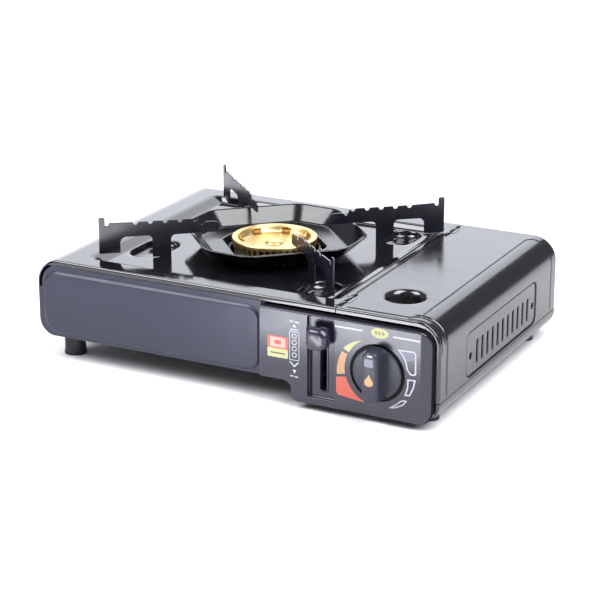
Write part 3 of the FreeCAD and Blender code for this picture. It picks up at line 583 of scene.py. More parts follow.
SIDE = CORNER_X + CORNER_ARC + CORNER_Z  # a length s on the right wall is SIDE - z
CREASE, CREASE_FRONT, CREASE_BACK = 154.0, -114.2, 108
CREASE_ROUTE = ([(98, CREASE_FRONT)] + bent((98, CREASE_FRONT), (CREASE, CREASE_FRONT), (CREASE, 0), 9)
                + bent((CREASE, 0), (CREASE, CREASE_BACK), (SIDE - 26, CREASE_BACK), 8))
CORNER_V = -107.5
CORNER_ROUTE = [(150, CORNER_V), (SIDE - 26, CORNER_V)]
STEP_ROUTES = ([(148, -111.2), (SIDE - 66, -111.2)], [(148, -117.0), (SIDE - 60, -117.0)])
SIDE_PANEL = (SIDE - 59.7, -70.0, SIDE - 24.4, 74.5)
SIDE_RADIUS = 7
PANEL_PRESS = -0.7
FINGER = (125.3, -72.7)
FINGER_REACH = 19.0
FINGER_RINGS = [(18.2, 0), (17.6, -0.05), (16.9, -0.25), (16.2, -0.65), (15.5, -1.2), (14.9, -1.9),
                (14.4, -2.8), (14.1, -3.8), (14.0, -5.0)]
SLOT_COUNT, SLOT_PITCH, SLOT_MIDDLE = 11, 10.5, 4.75
SLOT_TOP, SLOT_LOW = SIDE - 49.4, SIDE - 30.4
SLOT_REACH, SLOT_SIDE = 2.6, 4.2
SLOT_RINGS = [(2.7, 0), (2.3, -0.06), (2.0, -0.2), (1.8, -0.5), (1.8, -0.9)]
VENT_S, VENT_MIDS, VENT_SIDE = SIDE - 40, (-60.6, 68.5), 3.6
VENT_RINGS = [(3.5, 0), (3.1, -0.06), (2.8, -0.2), (2.6, -0.5), (2.6, -0.9)]


def lid_relief(s, v):
    """The creases on top, the steps near the front edge, and the sunk panel in the side wall."""
    lift = dent(path_distance(s, v, CREASE_ROUTE), 0.55, 0.75)
    lift += dent(path_distance(s, v, CORNER_ROUTE), 0.8, 0.95)
    for route in STEP_ROUTES:
        lift += dent(path_distance(s, v, route), 0.4, 0.7)
    gap = rounded_box_distance(s, v, *SIDE_PANEL, SIDE_RADIUS)
    return lift + PANEL_PRESS * ease(-gap / 1.2) + dent(gap, 0.9, 0.75)


def build_lid_shell():
    """The lid's top, its rounded corner and side wall; the grid's spans meet the edges of the openings."""
    s0, v0, s1, v1 = SIDE_PANEL
    finger_x0, finger_x1 = FINGER[0] - FINGER_REACH, FINGER[0] + FINGER_REACH
    finger_y0, finger_y1 = FINGER[1] - FINGER_REACH, FINGER[1] + FINGER_REACH
    slot_start, slot_end = SLOT_TOP - SLOT_REACH, SLOT_LOW + SLOT_REACH
    s_lines = lines((LID_EDGE, 95, 1.2), (95, finger_x0, 3), (finger_x0, finger_x1, 2.2),
                    (finger_x1, CREASE - 2.5, 1.4), (CREASE - 2.5, CREASE + 3, 0.4),
                    (CREASE + 3, s0 - 2, 1.3), (s0 - 2, s0 + 2.4, 0.4), (s0 + 2.4, slot_start, 2),
                    (slot_start, slot_end, 2), (slot_end, s1 - 2.4, 1.2), (s1 - 2.4, SIDE - LID_LOW, 0.45))
    mids = [SLOT_MIDDLE + (i - SLOT_COUNT // 2) * SLOT_PITCH for i in range(SLOT_COUNT)]
    vent_a, vent_b, vent_c, vent_d = [mid + side for mid in VENT_MIDS for side in (-VENT_SIDE, VENT_SIDE)]
    v_spans = [(-end, -start, step) for start, end, step in FOLD_SPANS]
    v_spans += [(FRONT + FOLD, CORNER_V + 3, 0.42), (CORNER_V + 3, finger_y0, 2.2),
                (finger_y0, v0 - 1.8, 2.1), (v0 - 1.8, v0 + 2, 0.42), (v0 + 2, vent_a, 2),
                (vent_a, vent_b, 1.8), (vent_b, mids[0] - SLOT_SIDE, 2)]
    for mid in mids:
        v_spans += [(mid - SLOT_SIDE, mid + SLOT_SIDE, 2.1), (mid + SLOT_SIDE, mid + 6.3, 3)]
    v_spans += [(mids[-1] + SLOT_SIDE, vent_c, 2.2), (vent_c, vent_d, 1.8), (vent_d, v1 + 2, 0.42),
                (v1 + 2, CREASE_BACK - 8, 2.6), (CREASE_BACK - 8, CREASE_BACK + 3, 0.45),
                (CREASE_BACK + 3, BACK - FOLD, 1.5), *FOLD_SPANS]
    v_lines = lines(*v_spans)
    patches = [{"rect": (finger_x0, finger_y0, finger_x1, finger_y1), "core": (*FINGER, *FINGER),
                "rings": FINGER_RINGS, "level": 0.0}]
    for mid in mids:
        patches.append({"rect": (slot_start, mid - SLOT_SIDE, slot_end, mid + SLOT_SIDE),
                        "core": (SLOT_TOP + 1.8, mid, SLOT_LOW - 1.8, mid), "rings": SLOT_RINGS,
                        "level": PANEL_PRESS})
    for mid in VENT_MIDS:
        patches.append({"rect": (VENT_S - SLOT_SIDE, mid - VENT_SIDE, VENT_S + SLOT_SIDE, mid + VENT_SIDE),
                        "core": (VENT_S, mid, VENT_S, mid), "rings": VENT_RINGS, "level": PANEL_PRESS})
    return pressed_sheet(s_lines, v_lines, lid_relief, patches)


piece("top_shell", build_top_shell(), ENAMEL, "casing", ["top_plate"], solid=SHEET)
piece("lid_shell", build_lid_shell(), LID_PAINT, "lid", ["canister_lid"], solid=SHEET)


LINE_SHEET, RIBBON_STEP = 0.04, 0.8


def paint_groove_shade(build, route, relief, width, lift=0.09, closed=False):
    """Painted shade: a dark ribbon lying in the bottom of a pressed groove; the route is in sheet lengths."""
    ends = route + [route[0]] if closed else route
    spots = []
    for (s0, v0), (s1, v1) in zip(ends, ends[1:]):
        length = math.hypot(s1 - s0, v1 - v0)
        count = max(1, round(length / RIBBON_STEP))
        if length > 1e-6:
            spots += [(s0 + (s1 - s0) * i / count, v0 + (v1 - v0) * i / count) for i in range(count)]
    if not closed:
        spots.append(ends[-1])
    spots = np.array(spots)
    ahead = np.roll(spots, -1, axis=0) - np.roll(spots, 1, axis=0)
    if not closed:
        ahead[0], ahead[-1] = spots[1] - spots[0], spots[-1] - spots[-2]
    across = np.column_stack((-ahead[:, 1], ahead[:, 0])) / np.linalg.norm(ahead, axis=1)[:, None]
    rows = []
    for share in (-1, -0.5, 0, 0.5, 1):
        at = spots + across * (share * width / 2)
        rows.append(on_sheet(*at.T, relief(*at.T) + lift))
    build.loft(rows, closed=closed)


def build_lid_lines():
    build = Build()
    side_route = rounded(box_outline(*SIDE_PANEL, SIDE_RADIUS), 10)
    paint_groove_shade(build, side_route, lid_relief, 1.1, 0.22, closed=True)
    paint_groove_shade(build, CREASE_ROUTE, lid_relief, 0.6)
    paint_groove_shade(build, CORNER_ROUTE, lid_relief, 1.1)
    for route in STEP_ROUTES:
        paint_groove_shade(build, route, lid_relief, 0.7)
    return build


def build_top_lines():
    """Painted shade: dark ribbons in the seam beside the lid and along the lip at the front and right of the
    recess.
    """
    build = Build()
    seam_x = HINGE_X - 1.6
    paint_groove_shade(build, [(seam_x, FRONT + 3), (seam_x, BACK - 3)], top_relief, 0.9)
    x0, y0, x1, y1 = RECESS
    lip_route = bent((x0 + 6, y0 + 0.8), (x1 - 0.9, y0 + 0.8), (x1 - 0.9, y1 - 4), 5)
    paint_groove_shade(build, lip_route, top_relief, 1.7)
    return build


# Painted shade: dark ribbons in the grooves, creases and seams of the top and the lid.
piece("top_lines", build_top_lines(), GROOVE_SHADE, "casing", solid=LINE_SHEET)
piece("lid_lines", build_lid_lines(), GROOVE_SHADE, "lid", solid=LINE_SHEET)


# --- hinge knuckles ---------------------------------------------------------------
def build_knuckles(spans, toward):
    """Rolled barrels, each with a leaf that runs into its sheet."""
    build = Build()
    for y0, y1 in spans:
        stations = ((y0, 1.5), (y0 + 0.15, 1.85), (y0 + 0.4, 2.0), (y1 - 0.4, 2.0), (y1 - 0.15, 1.85),
                    (y1, 1.5))
        build.loft([upright(circle(HINGE_X, HINGE_Z, radius, 24), y) for y, radius in stations], True, True)
        x0, x1 = sorted((HINGE_X + toward * 1.2, HINGE_X + toward * 4.6))
        leaf = rounded(box_outline(x0, y0, x1, y1, 0.6), 3)
        build.loft([[(x, y, z) for x, y in leaf] for z in (TOP - SHEET, TOP + 0.25)], True, True)
    return build


SPAN_STARTS = (-113.0, 85.0)
casing_spans = [(s + a, s + b) for s in SPAN_STARTS for a, b in ((0, 7), (21, 28))]
lid_spans = [(s + 7.3, s + 20.7) for s in SPAN_STARTS]
piece("hinge_barrels", build_knuckles(casing_spans, -1), ENAMEL, "casing")
piece("lid_barrels", build_knuckles(lid_spans, 1), LID_PAINT, "lid")


# --- front panel ------------------------------------------------------------------
PAD = (-170.4, 21.6, 27.2, 74.9)


def build_front_panel():
    """The front sheet with its rolled edge and the raised pad that fills most of it."""
    build = Build()
    edge = [(27.2, 19.6), (27.7, 20.1), (27.7, 78.6), (27.2, 79.1)]
    edge += arc(-155, CORNER_Z, 19.8, 127, 180) + arc(-161, 33.3, 13.8, 180, 270)
    rolled = ((0, 1.2), (0, 0.4), (0.12, 0.12), (0.4, 0))
    build.loft([upright(inset(edge, depth) if depth else edge, FRONT + lift) for depth, lift in rolled])
    levels = [(0, 0), (0.5, -0.06), (0.9, -0.3), (1.3, -0.8), (1.8, -1.35), (2.3, -1.75), (2.8, -1.94),
              (3.4, -2.0), (9, -2.0)]
    x0, z0, x1, z1 = PAD
    pads = []
    for depth, _ in levels:
        left, right = max(15.5 - depth, 1), max(11 - depth, 1)
        pads.append(rounded([(x0 + depth, z0 + depth, left), (x1 - depth, z0 + depth, right),
                             (x1 - depth, z1 - depth, right), (x0 + depth, z1 - depth, left)], 10))
    build.loft([upright(pad, FRONT + lift) for pad, (_, lift) in zip(pads, levels)])
    build.flat([inset(edge, 0.4), pads[0]], lambda u, v: (u, FRONT, v))
    build.flat([pads[-1]], lambda u, v: (u, FRONT - 2.0, v))
    return build


def face_out(build, toward):
    """Turns every face so that its front looks along the given direction, for flat plates."""
    points = np.array(build.points)
    faces = []
    for f in build.faces:
        a, b, c = points[f[0]], points[f[1]], points[f[2]]
        faces.append(f if np.cross(b - a, c - a) @ toward >= 0 else f[::-1])
    build.faces = faces
    return build


piece("front_panel_skin", face_out(build_front_panel(), (0, -1, 0)), FRONT_PAINT, "casing",
      ["front_panel"], weighted=True)


# --- control panel ----------------------------------------------------------------
def panel_lift(x):
    """Y of the face, which slopes back beyond the bevel line near its right end."""
    return PANEL_FACE + max(0.0, x - BEVEL_X) * BEVEL_SLOPE


def panel_outline():
    return rounded([(STEP_IN, 5, 5), (170.6, 5, 11), (170.6, 77.2, 12), (PANEL_SPLIT, 77.2, 1.5),
                    (PANEL_SPLIT, 20.6, 1.5), (STEP_IN, 20.6, 7)], 8)


def build_control_panel():
    """The moulded face with its bevel, the lever's channel and slot, and the knob's seat."""
    build = Build()
    edge = panel_outline()
    rings = [upright(edge, FRONT + 5)]
    for depth, lift in ((0, 1.4), (0.1, 0.8), (0.4, 0.35), (0.8, 0.1), (1.3, 0)):
        rings.append([(x, panel_lift(x) + lift, z) for x, z in inset(edge, depth)])
    build.loft(rings)
    channel = rounded(box_outline(69.2, 10.9, 91.7, 76, 1.6), 5)
    dial = circle(KNOB_X, KNOB_Z, DIAL_RADIUS, 96)
    build.flat([inset(edge, 1.3), channel, dial], lambda u, v: (u, panel_lift(u), v),
               [((BEVEL_X, -5), (BEVEL_X, 90))])
    walls = ((0.15, 0.12), (0.3, 0.45), (0.4, 2.6), (0.7, 2.95), (1.1, 3.05))
    build.loft([upright(channel, PANEL_FACE)]
               + [upright(inset(channel, depth), PANEL_FACE + lift) for depth, lift in walls])
    gap = rounded(box_outline(79.2, 17, 84.4, 66, 0.8), 3)
    lip = inset(gap, -1.6)
    build.flat([inset(channel, 1.1), lip], lambda u, v: (u, CHANNEL_FLOOR, v))
    guide = ((0.2, 2.7), (0.45, 2.45), (0.9, 2.35), (1.3, 2.45), (1.6, 2.9), (1.6, 9))
    build.loft([upright(lip, CHANNEL_FLOOR)]
               + [upright(inset(lip, depth), PANEL_FACE + lift) for depth, lift in guide])
    seat = ((0, 0), (0.12, 0.06), (0.25, 0.3), (0.3, 1.2), (14, 1.2))
    build.loft([upright(circle(KNOB_X, KNOB_Z, DIAL_RADIUS - depth, 96), PANEL_FACE + lift)
                for depth, lift in seat], cap_end=True)
    return build


piece("control_panel_skin", build_control_panel(), PLASTIC, "casing", ["control_panel"],
      sharp=17, weighted=True)
# Painted shade: a black band round the panel's edge darkens the gap between the panel and the rim.
reveal = Build()
reveal_edge = inset(panel_outline(), -0.12)
reveal.loft([upright(reveal_edge, y) for y in (FRONT + 0.3, PANEL_FACE + 1.9)])
piece("panel_gap_shade", reveal, SHADE_BLACK, "casing", solid=0.06)


# --- print, painted shade and a painted highlight ---------------------------------
DECAL_PROUD = 0.07


def printed_and_painted_light(name, shapes, colour, body="casing", face=PANEL_FACE):
    """Thin marks standing a hair above the face, as print and as painted shade and highlight; each shape is
    an outside outline with its holes.
    """
    build = Build()

    def lifted(x, z, proud):
        slope = panel_lift(x) - PANEL_FACE if body == "casing" else 0
        return x, face - proud + slope, z

    for contours in shapes:
        for ring in contours:
            build.loft([[lifted(x, z, proud) for x, z in ring] for proud in (0.01, DECAL_PROUD)])
        build.flat(contours, lambda x, z: lifted(x, z, DECAL_PROUD))
    piece(name, face_out(build, (0, -1, 0)), colour, body)


def outlined(ring, width):
    """A line of print of the given width along the inside of an outline."""
    return [ring, inset(ring, width)]


def bar(x0, z0, x1, z1, radius=0.2):
    return rounded(box_outline(x0, z0, x1, z1, radius), 3)


def swept(start, end, inner, outer):
    """A curved band about the knob from start to end degrees; inner and outer are (first, last) radii."""
    steps = 14
    near, far = [], []
    for i in range(steps + 1):
        t = i / steps
        turn = math.radians(start + (end - start) * t)
        r0 = inner[0] + (inner[1] - inner[0]) * t
        r1 = outer[0] + (outer[1] - outer[0]) * t
        near.append((KNOB_X + r0 * math.cos(turn), KNOB_Z + r0 * math.sin(turn)))
        far.append((KNOB_X + r1 * math.cos(turn), KNOB_Z + r1 * math.sin(turn)))
    return far + near[::-1]


window, core_bar = bar(38.0, 46.6, 51.0, 54.3, 0.4), bar(41.7, 48.9, 47.5, 52.2, 0.4)
rule = bar(38.3, 41.3, 50.7, 42.3, 0.3)
printed_and_painted_light("sticker_red", [[bar(35.8, 45.6, 53.2, 55.4, 0.8), window], [core_bar]], RED_INK)
printed_and_painted_light("sticker_white", [[window, core_bar]], PINK_INK)
printed_and_painted_light("sticker_yellow", [[bar(35.8, 38.3, 53.2, 45.5, 0.8), rule]], YELLOW_INK)
printed_and_painted_light("sticker_rule", [[rule]], DARK_INK)


def lever_marks():
    """Short rules, two arrow heads and a column of rounded boxes beside the lever."""
    shift = -1.5
    marks = [[bar(56.4, 68.6, 59.2, 69.6)], [bar(60.4, 68.3, 64.2, 69.3)], [bar(56.6, 62.3, 63.6, 63.1)],
             [bar(56.6, 25.0, 59.4, 25.9)], [bar(60.4, 24.7, 63.4, 25.6)]]
    marks.append([[(58.6, 64.6), (61.8, 64.6), (60.2, 67.2)]])
    marks.append([[(58.6, 30.6), (60.2, 27.6), (61.8, 30.6)]])
    marks.append(outlined(bar(55.8, 38.2, 64.2, 61.2, 0.8), 0.5))
    for z in (40.6, 45.6, 50.6, 55.6):
        marks.append(outlined(bar(58.0, z, 62.0, z + 3.8, 1.2), 0.6))
    marks.append([[(55.8, 36.9), (60.0, 32.7), (64.2, 36.9), (62.9, 36.9), (60.0, 34.1), (57.1, 36.9)]])
    return [[[(x + shift, z) for x, z in ring] for ring in contours] for contours in marks]


def wound(ring):
    """The outline running counter-clockwise in X and Z."""
    area = sum(a[0] * b[1] - b[0] * a[1] for a, b in zip(ring, ring[1:] + ring[:1]))
    return ring if area > 0 else ring[::-1]


printed_and_painted_light("lever_marks", lever_marks(), WHITE_INK_AND_GLINT)
printed_and_painted_light("dial_rules", [[bar(92.4, 70.6, 115, 71.9)], [bar(139.4, 69.8, 161.2, 71.1)]], WHITE_INK_AND_GLINT)
# Painted shade: a black ring on the dial's floor darkens the gap round the knob, and a black strip darkens
# the lever channel's left wall.
dial_shade_rings = [circle(KNOB_X, KNOB_Z, radius, 96) for radius in (DIAL_RADIUS - 0.35, 17)]
printed_and_painted_light("dial_gap_shade", [dial_shade_rings], SHADE_BLACK, face=DIAL_FLOOR)
printed_and_painted_light("channel_shade", [[bar(69.9, 11.6, 72.3, 60, 0.4)]], SHADE_BLACK, face=CHANNEL_FLOOR)
BADGE_X = 128.7
BADGE_BARS = [bar(BADGE_X + shift - 0.9, 70.1, BADGE_X + shift + 0.9, 72.7, 0.3) for shift in (-2.9, 0, 2.9)]
printed_and_painted_light("dial_badge", [[ellipse(BADGE_X, 71.4, 7.0, 3.9, 40), *BADGE_BARS]], YELLOW_INK)
printed_and_painted_light("badge_bars", [[ring] for ring in BADGE_BARS], OLIVE_INK)
printed_and_painted_light("dial_yellow", [[wound(swept(119, 152, (26.4, 26.4), (26.7, 31.6)))]], YELLOW_INK)
printed_and_painted_light("dial_orange", [[wound(swept(157, 191, (26.6, 26.8), (31.4, 33.6)))]], ORANGE_INK)
red_arc = [(93.6, 31.6), (93.6, 20.2), (95.2, 17.4), (120.6, 14.6)]
red_arc += arc(KNOB_X, KNOB_Z, 26.6, 256, 196, 12)
printed_and_painted_light("dial_red", [[wound(red_arc)]], RED_INK)
step_one = wound([(142.8, 61.6), (156.4, 61.8), (158.2, 60.0), (158.4, 44.3), (156.8, 43.0), (153.6, 43.2),
                  (150.9, 46.6), (149.4, 52.6), (146.6, 57.8)])
step_fill = wound([(147.9, 57.6), (146.0, 60.3), (156.2, 60.5), (156.9, 59.6), (157.0, 54.2), (150.2, 53.2)])
step_two = wound([(151.4, 39.7), (158.2, 40.0), (156.8, 33.4), (153.8, 26.6), (149.2, 26.2), (151.2, 32.8)])
step_three = wound([(148.9, 22.7), (151.6, 22.6), (148.4, 18.4), (142.0, 15.0), (136.7, 14.2), (138.9, 15.9),
                    (142.9, 18.6), (146.0, 21.6)])
printed_and_painted_light("dial_steps", [outlined(step_one, 1.1), outlined(step_two, 1.1), outlined(step_three, 0.85)],
        WHITE_INK_AND_GLINT)
printed_and_painted_light("dial_fill", [[inset(step_fill, 0.25)]], GREY_INK)


# --- knob -------------------------------------------------------------------------
def build_knob():
    """A low round base and the tall grip bar across it."""
    build = Build()
    rim = DISC_RADIUS
    profile = ((0.3, rim - 1.2), (0.3, rim - 0.2), (0.1, rim), (-0.4, rim), (-0.75, rim - 0.15),
               (-1.0, rim - 0.6), (-1.1, rim - 1.4), (-1.5, 10), (-1.55, 4))
    build.loft([upright(circle(KNOB_X, KNOB_Z, radius, 96), PANEL_FACE + lift) for lift, radius in profile],
               True, True)
    grip = ((-126.3, 8.6, 20.8, 6), (-127.6, 8.0, 20.8, 6), (-129.2, 7.4, 20.7, 6), (-131.2, 6.9, 20.6, 5.8),
            (-138.2, 6.4, 20.3, 5.4), (-139.2, 6.0, 20.0, 5.2), (-139.7, 5.4, 19.5, 4.8),
            (KNOB_FRONT, 4.7, 18.9, 4.2))
    rings = []
    for y, wide, tall, radius in grip:
        outline = rounded(box_outline(KNOB_X - wide, KNOB_Z - tall, KNOB_X + wide, KNOB_Z + tall, radius), 8)
        rings.append(upright(outline, y))
    build.loft(rings, True, True)
    return build


piece("knob_shell", build_knob(), KNOB_PLASTIC, "knob", ["control_knob"])
FLAME = [(0, 5.2), (-1.1, 2.9), (-3.0, 0.9), (-3.6, -1.6), (-2.7, -3.6), (0, -4.5), (2.7, -3.6), (3.6, -1.6),
         (2.8, 0.7), (1.7, 1.8), (1.0, 3.4)]
flame_ring = wound([(KNOB_X - 0.2 + u, KNOB_Z - 1.5 + v) for u, v in FLAME])
# Painted highlight: a short white bar near the top of the grip's face stands in for the glint on its top
# edge.
glint_bar = bar(KNOB_X - 1.6, KNOB_Z + 17.0, KNOB_X + 2.6, KNOB_Z + 18.5, 0.6)
square_bar = bar(KNOB_X - 3.9, KNOB_Z + 9.2, KNOB_X + 3.2, KNOB_Z + 15.4, 1.2)
for name, ring, colour in (("knob_glint", glint_bar, WHITE_INK_AND_GLINT), ("knob_square", square_bar, GREY_INK),
                           ("knob_flame", flame_ring, ORANGE_INK)):
    printed_and_painted_light(name, [[ring]], colour, "knob", KNOB_FRONT)


# --- lever thumb piece ------------------------------------------------------------
def build_thumb():
    """A cap with a flat face at its left, which rolls back in a broad curve at its right."""
    build = Build()
    stations = [(-128.6, 0.6, 0.6, 53.6, 68.8, 5), (-129.2, 0.2, 0.2, 53.0, 69.6, 6),
                (-130.6, 0.4, 0, 52.4, 70.0, 7), (-132.4, 1.6, 0, 52.4, 69.8, 7.5),
                (-134.2, 3.0, 0.7, 52.8, 69.2, 7), (-135.6, 4.2, 2.0, 53.4, 68.4, 6),
                (-136.4, 5.2, 3.4, 54.2, 67.4, 4.6), (-136.8, 6.4, 5.0, 55.4, 66.2, 3.4)]
    rings = []
    for y, left, right, z0, z1, radius in stations:
        x0, x1 = 70.6 + left, 90.4 - right
        corners = [(x0, z0, 2.6), (x1, z0, radius), (x1, z1, radius), (x0, z1, 2.6)]
        rings.append(upright(rounded(corners, 7), y))
    build.loft(rings, True, True)
    return build


piece("thumb_cap", build_thumb(), PLASTIC, "lever", ["lever_thumb"])


# --- pan support ------------------------------------------------------------------
def dish_ring(shrink, z):
    """The dish's eight-sided outline, moved inward by shrink."""
    far, near = 76.0 - shrink, 68.0 - shrink
    reach = near * math.sqrt(2) - far
    corners = [(far, -reach), (far, reach), (reach, far), (-reach, far), (-far, reach), (-far, -reach),
               (-reach, -far), (reach, -far)]
    radius = 18 - min(shrink, 18) * 0.3
    c, s = math.cos(math.radians(TRIVET_TURN)), math.sin(math.radians(TRIVET_TURN))
    return [(BURNER_X + x * c - y * s, x * s + y * c, z)
            for x, y in rounded([(x, y, radius) for x, y in corners], 8)]


def round_ring(like, radius, z):
    """A circle about the burner, with each point in line with a point of another ring."""
    ring = []
    for x, y, _ in like:
        turn = math.atan2(y, x - BURNER_X)
        ring.append((BURNER_X + radius * math.cos(turn), radius * math.sin(turn), z))
    return ring


def build_dish():
    """A closed shell: underside from the hole outward, over the rolled rim, and back along the top."""
    build = Build()
    base = dish_ring(14, DISH_FLOOR)
    hole_under = ((44, -4), (44, -1.4), (44.8, -1.0))
    under = ((16.5, -1.0), (14.2, -0.9), (12.8, -0.3))
    rim = ((4.2, -4.2), (2.6, -2.2), (1.6, -1.5), (0.7, -1.3), (0.15, -0.9), (0, -0.45), (0.35, -0.1), (1, 0),
           (1.9, -0.15), (2.8, -0.8), (3.7, -2.0))
    over = ((13.2, 1.1), (14.2, 0.3), (15.6, 0))
    hole_over = ((48, 0), (45.5, 0.5), (44, 0.55), (43.2, 0.1), (43, -0.8), (43, -4))
    rings = [round_ring(base, radius, DISH_FLOOR + rise) for radius, rise in hole_under]
    rings += [dish_ring(shrink, DISH_FLOOR + rise) for shrink, rise in under]
    rings += [dish_ring(shrink, DISH_RIM + rise) for shrink, rise in rim]
    rings += [dish_ring(shrink, DISH_FLOOR + rise) for shrink, rise in over]
    rings += [round_ring(base, radius, DISH_FLOOR + rise) for radius, rise in hole_over]
    loops = build.loft(rings)
    build.band(loops[-1], loops[0])
    return build


piece("dish_shell", build_dish(), TRIVET, "trivet", ["trivet_dish"], sharp=50, weighted=True)


def arm_outline():
    """An arm seen from its side, as distance from the burner's axis and height."""
    bar_z, crest, valley, feet = 96.6, 108.8, 106.6, 78.65
    hook = ARM_TIP - 5
    points = [(45.5, bar_z, 2), (45.5, 105.6, 4.5), (57, 105.6, 4), (60, 102.4, 1), (62.6, crest - 1, 1)]
    for notch in (65.4, 77.4, 89.4, 101.4, 113.4):
        points += [(notch - 2.4, crest, 0.6), (notch - 1.2, valley, 0.6), (notch + 1.2, valley, 0.6),
                   (notch + 2.4, crest, 0.6)]
    points += [(hook - 3.6, crest + 0.6, 0.8), (hook - 2.6, 107, 1), (hook, 107, 1), (hook, ARM_TOP, 1.6),
               (ARM_TIP, ARM_TOP, 1.6), (ARM_TIP, OUTER_FOOT, 0.6), (ARM_TIP - 17, OUTER_FOOT, 0.6),
               (ARM_TIP - 17, bar_z + 0.4, 5), (100, bar_z + 0.4, 4), (100, feet, 0.6), (85, feet, 0.6),
               (85, bar_z, 4)]
    return wound(rounded(points, 5))


def build_arm(turn):
    """A stamped plate with softly rounded edges, standing on its edge along the X axis, then turned."""
    build = Build()
    edge = arm_outline()
    half, soft = 0.7, 0.22
    face, shoulder = inset(edge, soft * 1.1), inset(edge, 0.08)
    stations = ((-half, face), (-half + soft * 0.3, shoulder), (-half + soft, edge), (half - soft, edge),
                (half - soft * 0.3, shoulder), (half, face))
    build.loft([upright(ring, y) for y, ring in stations])
    for side in (-half, half):
        sheet = Build()
        sheet.flat([face], lambda u, v: (u, side, v))
        build.merge(face_out(sheet, (0, side, 0)))
    return build.move((BURNER_X, 0, 0), turn)


ARM_TURNS = {"back_right": ARM_ANGLE, "back_left": 180 - ARM_ANGLE, "front_left": 180 + ARM_ANGLE,
             "front_right": -ARM_ANGLE}
for name, angle in ARM_TURNS.items():
    piece("arm_" + name, build_arm(math.radians(angle + TRIVET_TURN)), ARM_PAINT, "trivet",
          ["trivet_arm_" + name], weighted=True)


# --- burner -----------------------------------------------------------------------
PORT_COUNT, PORT_TURN = 7, 0.5
TOOTH_COUNT = 40
# Rows of the bowl's wall: radius, height and how far a port swells it outward.
BOWL = [(29.1, 88.4, 0.2), (28.8, 87.6, 1.0), (28.4, 86.6, 1.5), (27.8, 85.6, 1.6), (26.8, 84.7, 1.2),
        (25, 84.1, 0.3)]


def port_push(turn):
    """How far the bowl wall swells outward at an angle, from 0 between ports to 1 in a port."""
    return float(ease((math.cos(turn * PORT_COUNT + PORT_TURN) - 0.45) / 0.3))


def build_burner():
    """The brass ring with its toothed edge, and the bowl inside it with swollen ports."""
    build = Build()
    count = 240

    def ring(radius, z, bite=0.0, swell=0.0):
        points = []
        for i in range(count):
            turn = math.tau * i / count
            tooth = 0.5 + 0.5 * math.cos(turn * TOOTH_COUNT)
            r = radius - bite * float(ease((tooth - 0.3) / 0.25)) + swell * port_push(turn)
            points.append((BURNER_X + r * math.cos(turn), r * math.sin(turn), z))
        return points

    outside = ((30.6, 81), (32.6, 81, 1.6), (33.2, 81.3, 2.3), (34.1, 82.6, 3.0), (34.5, 84.4, 3.2),
               (34.7, 86.0, 3.2), (34.8, 86.4, 0.4), (34.8, 87), (35, 88.8), (34.9, 89.5), (34.4, 89.9),
               (33.8, 90), (30.6, 89.95), (29.9, 89.7), (29.4, 89.1))
    floor = ((22, 83.8), (14, 83.5), (9, 83.6), (7.5, 84.2), (6.6, 85.4), (4.5, 86.0), (2, 86.2))
    rings = [ring(*row) for row in outside]
    rings += [ring(radius, z, 0, swell) for radius, z, swell in BOWL]
    rings += [ring(*row) for row in floor]
    build.loft(rings, True, True)
    return build


def build_ports():
    """Arched patches of darker brass lining each port."""
    build = Build()
    half_widths = (0.4, 2.6, 3.6, 3.9, 3.9, 3.4)
    steps = 10
    for k in range(PORT_COUNT):
        middle = (math.tau * k - PORT_TURN) / PORT_COUNT
        rows = []
        for (radius, z, swell), half in zip(BOWL, half_widths):
            row = []
            for i in range(steps + 1):
                turn = middle + half * (2 * i / steps - 1) / radius
                r = radius + swell * port_push(turn) - 0.16
                row.append((BURNER_X + r * math.cos(turn), r * math.sin(turn), z + 0.1))
            rows.append(row)
        build.loft(rows, closed=False)
    return build


piece("burner_crown", build_burner(), BRASS, "casing", ["burner_cap"], sharp=50)
piece("burner_ports", build_ports(), PORT_BRASS, "casing", solid=0.08)
# Painted shade: a dark band behind the crown's teeth darkens the notches between them.
CORE = ((31.2, 81.3), (32.3, 81.4), (32.6, 82), (32.6, 85.6), (32.3, 85.9), (31.2, 86))
core = Build()
core_loops = core.loft([[(x, y, z) for x, y in circle(BURNER_X, 0, radius, 96)] for radius, z in CORE])
core.band(core_loops[-1], core_loops[0])
piece("burner_core", core, NOTCH_SHADE, "casing")


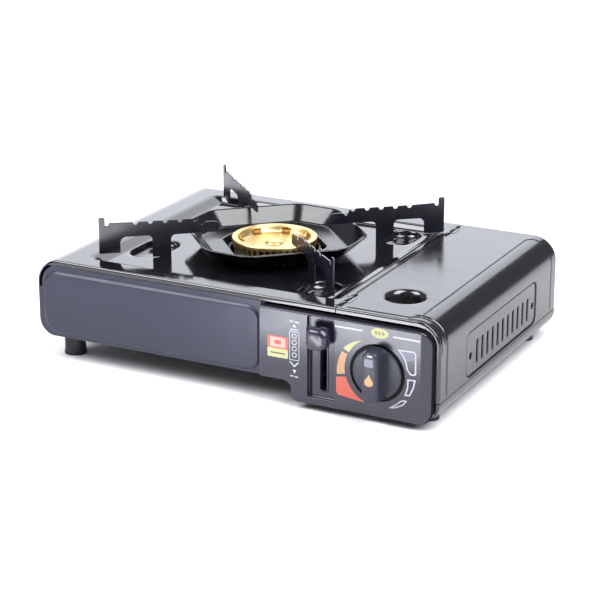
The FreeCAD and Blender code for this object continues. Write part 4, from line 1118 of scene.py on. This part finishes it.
# --- studio -----------------------------------------------------------------------
COOL = (0.9, 0.925, 1.0)
NEUTRAL = (0.975, 0.985, 1.0)
FLOOR = 12.0


def soft_light(name, place, aim, size, power, tint):
    """A rectangular softbox whose power is given per square metre."""
    data = bpy.data.lights.new(name, "AREA")
    data.shape = "RECTANGLE"
    data.size, data.size_y = size
    data.energy = power * size[0] * size[1]
    data.color = tint
    lamp = bpy.data.objects.new(name, data)
    scene.collection.objects.link(lamp)
    lamp.location = place
    lamp.rotation_euler = (Vector(place) - Vector(aim)).to_track_quat("Z", "Y").to_euler()
    lamp.visible_camera = False


floor_mesh = bpy.data.meshes.new("floor")
floor_mesh.from_pydata([(-FLOOR, -FLOOR, 0), (FLOOR, -FLOOR, 0), (FLOOR, FLOOR, 0), (-FLOOR, FLOOR, 0)], [],
                       [(0, 1, 2, 3)])
floor_mesh.materials.append(finish("floor_paper", (0.86, 0.86, 0.87), 0.9, shade=0.01,
                                   peel=(200, 0.02), specular=0.1))
floor = bpy.data.objects.new("floor", floor_mesh)
scene.collection.objects.link(floor)

soft_light("overhead_right", (1.05, -0.2, 1.45), (0.0, 0.0, 0.0), (1.0, 1.7), 30, NEUTRAL)
soft_light("overhead_left", (-0.95, -0.85, 1.45), (0.0, 0.0, 0.0), (1.1, 1.3), 29, NEUTRAL)
soft_light("backdrop", (-0.88, 2.06, 1.1), (0.0, 0.1, 0.1), (2.3, 2.3), 7.2, COOL)
soft_light("low_card", (0.02, -0.335, 0.002), (0.02, -0.335, 1.0), (0.19, 0.19), 27, COOL)

world = bpy.data.worlds.new("studio")
world.use_nodes = True
put(world.node_tree.nodes["Background"], {"Color": (0.9, 0.93, 1.0, 1), "Strength": 0.2})
scene.world = world
scene.view_settings.view_transform = "Standard"

camera_data = bpy.data.cameras.new("camera")
camera_data.lens = 117.57
camera_data.sensor_width = 36
camera = bpy.data.objects.new("camera", camera_data)
scene.collection.objects.link(camera)
camera.location = (0.6916, -1.3353, 0.5604)
camera.rotation_euler = Euler((math.radians(70.96), 0, math.radians(27.25)))
scene.camera = camera
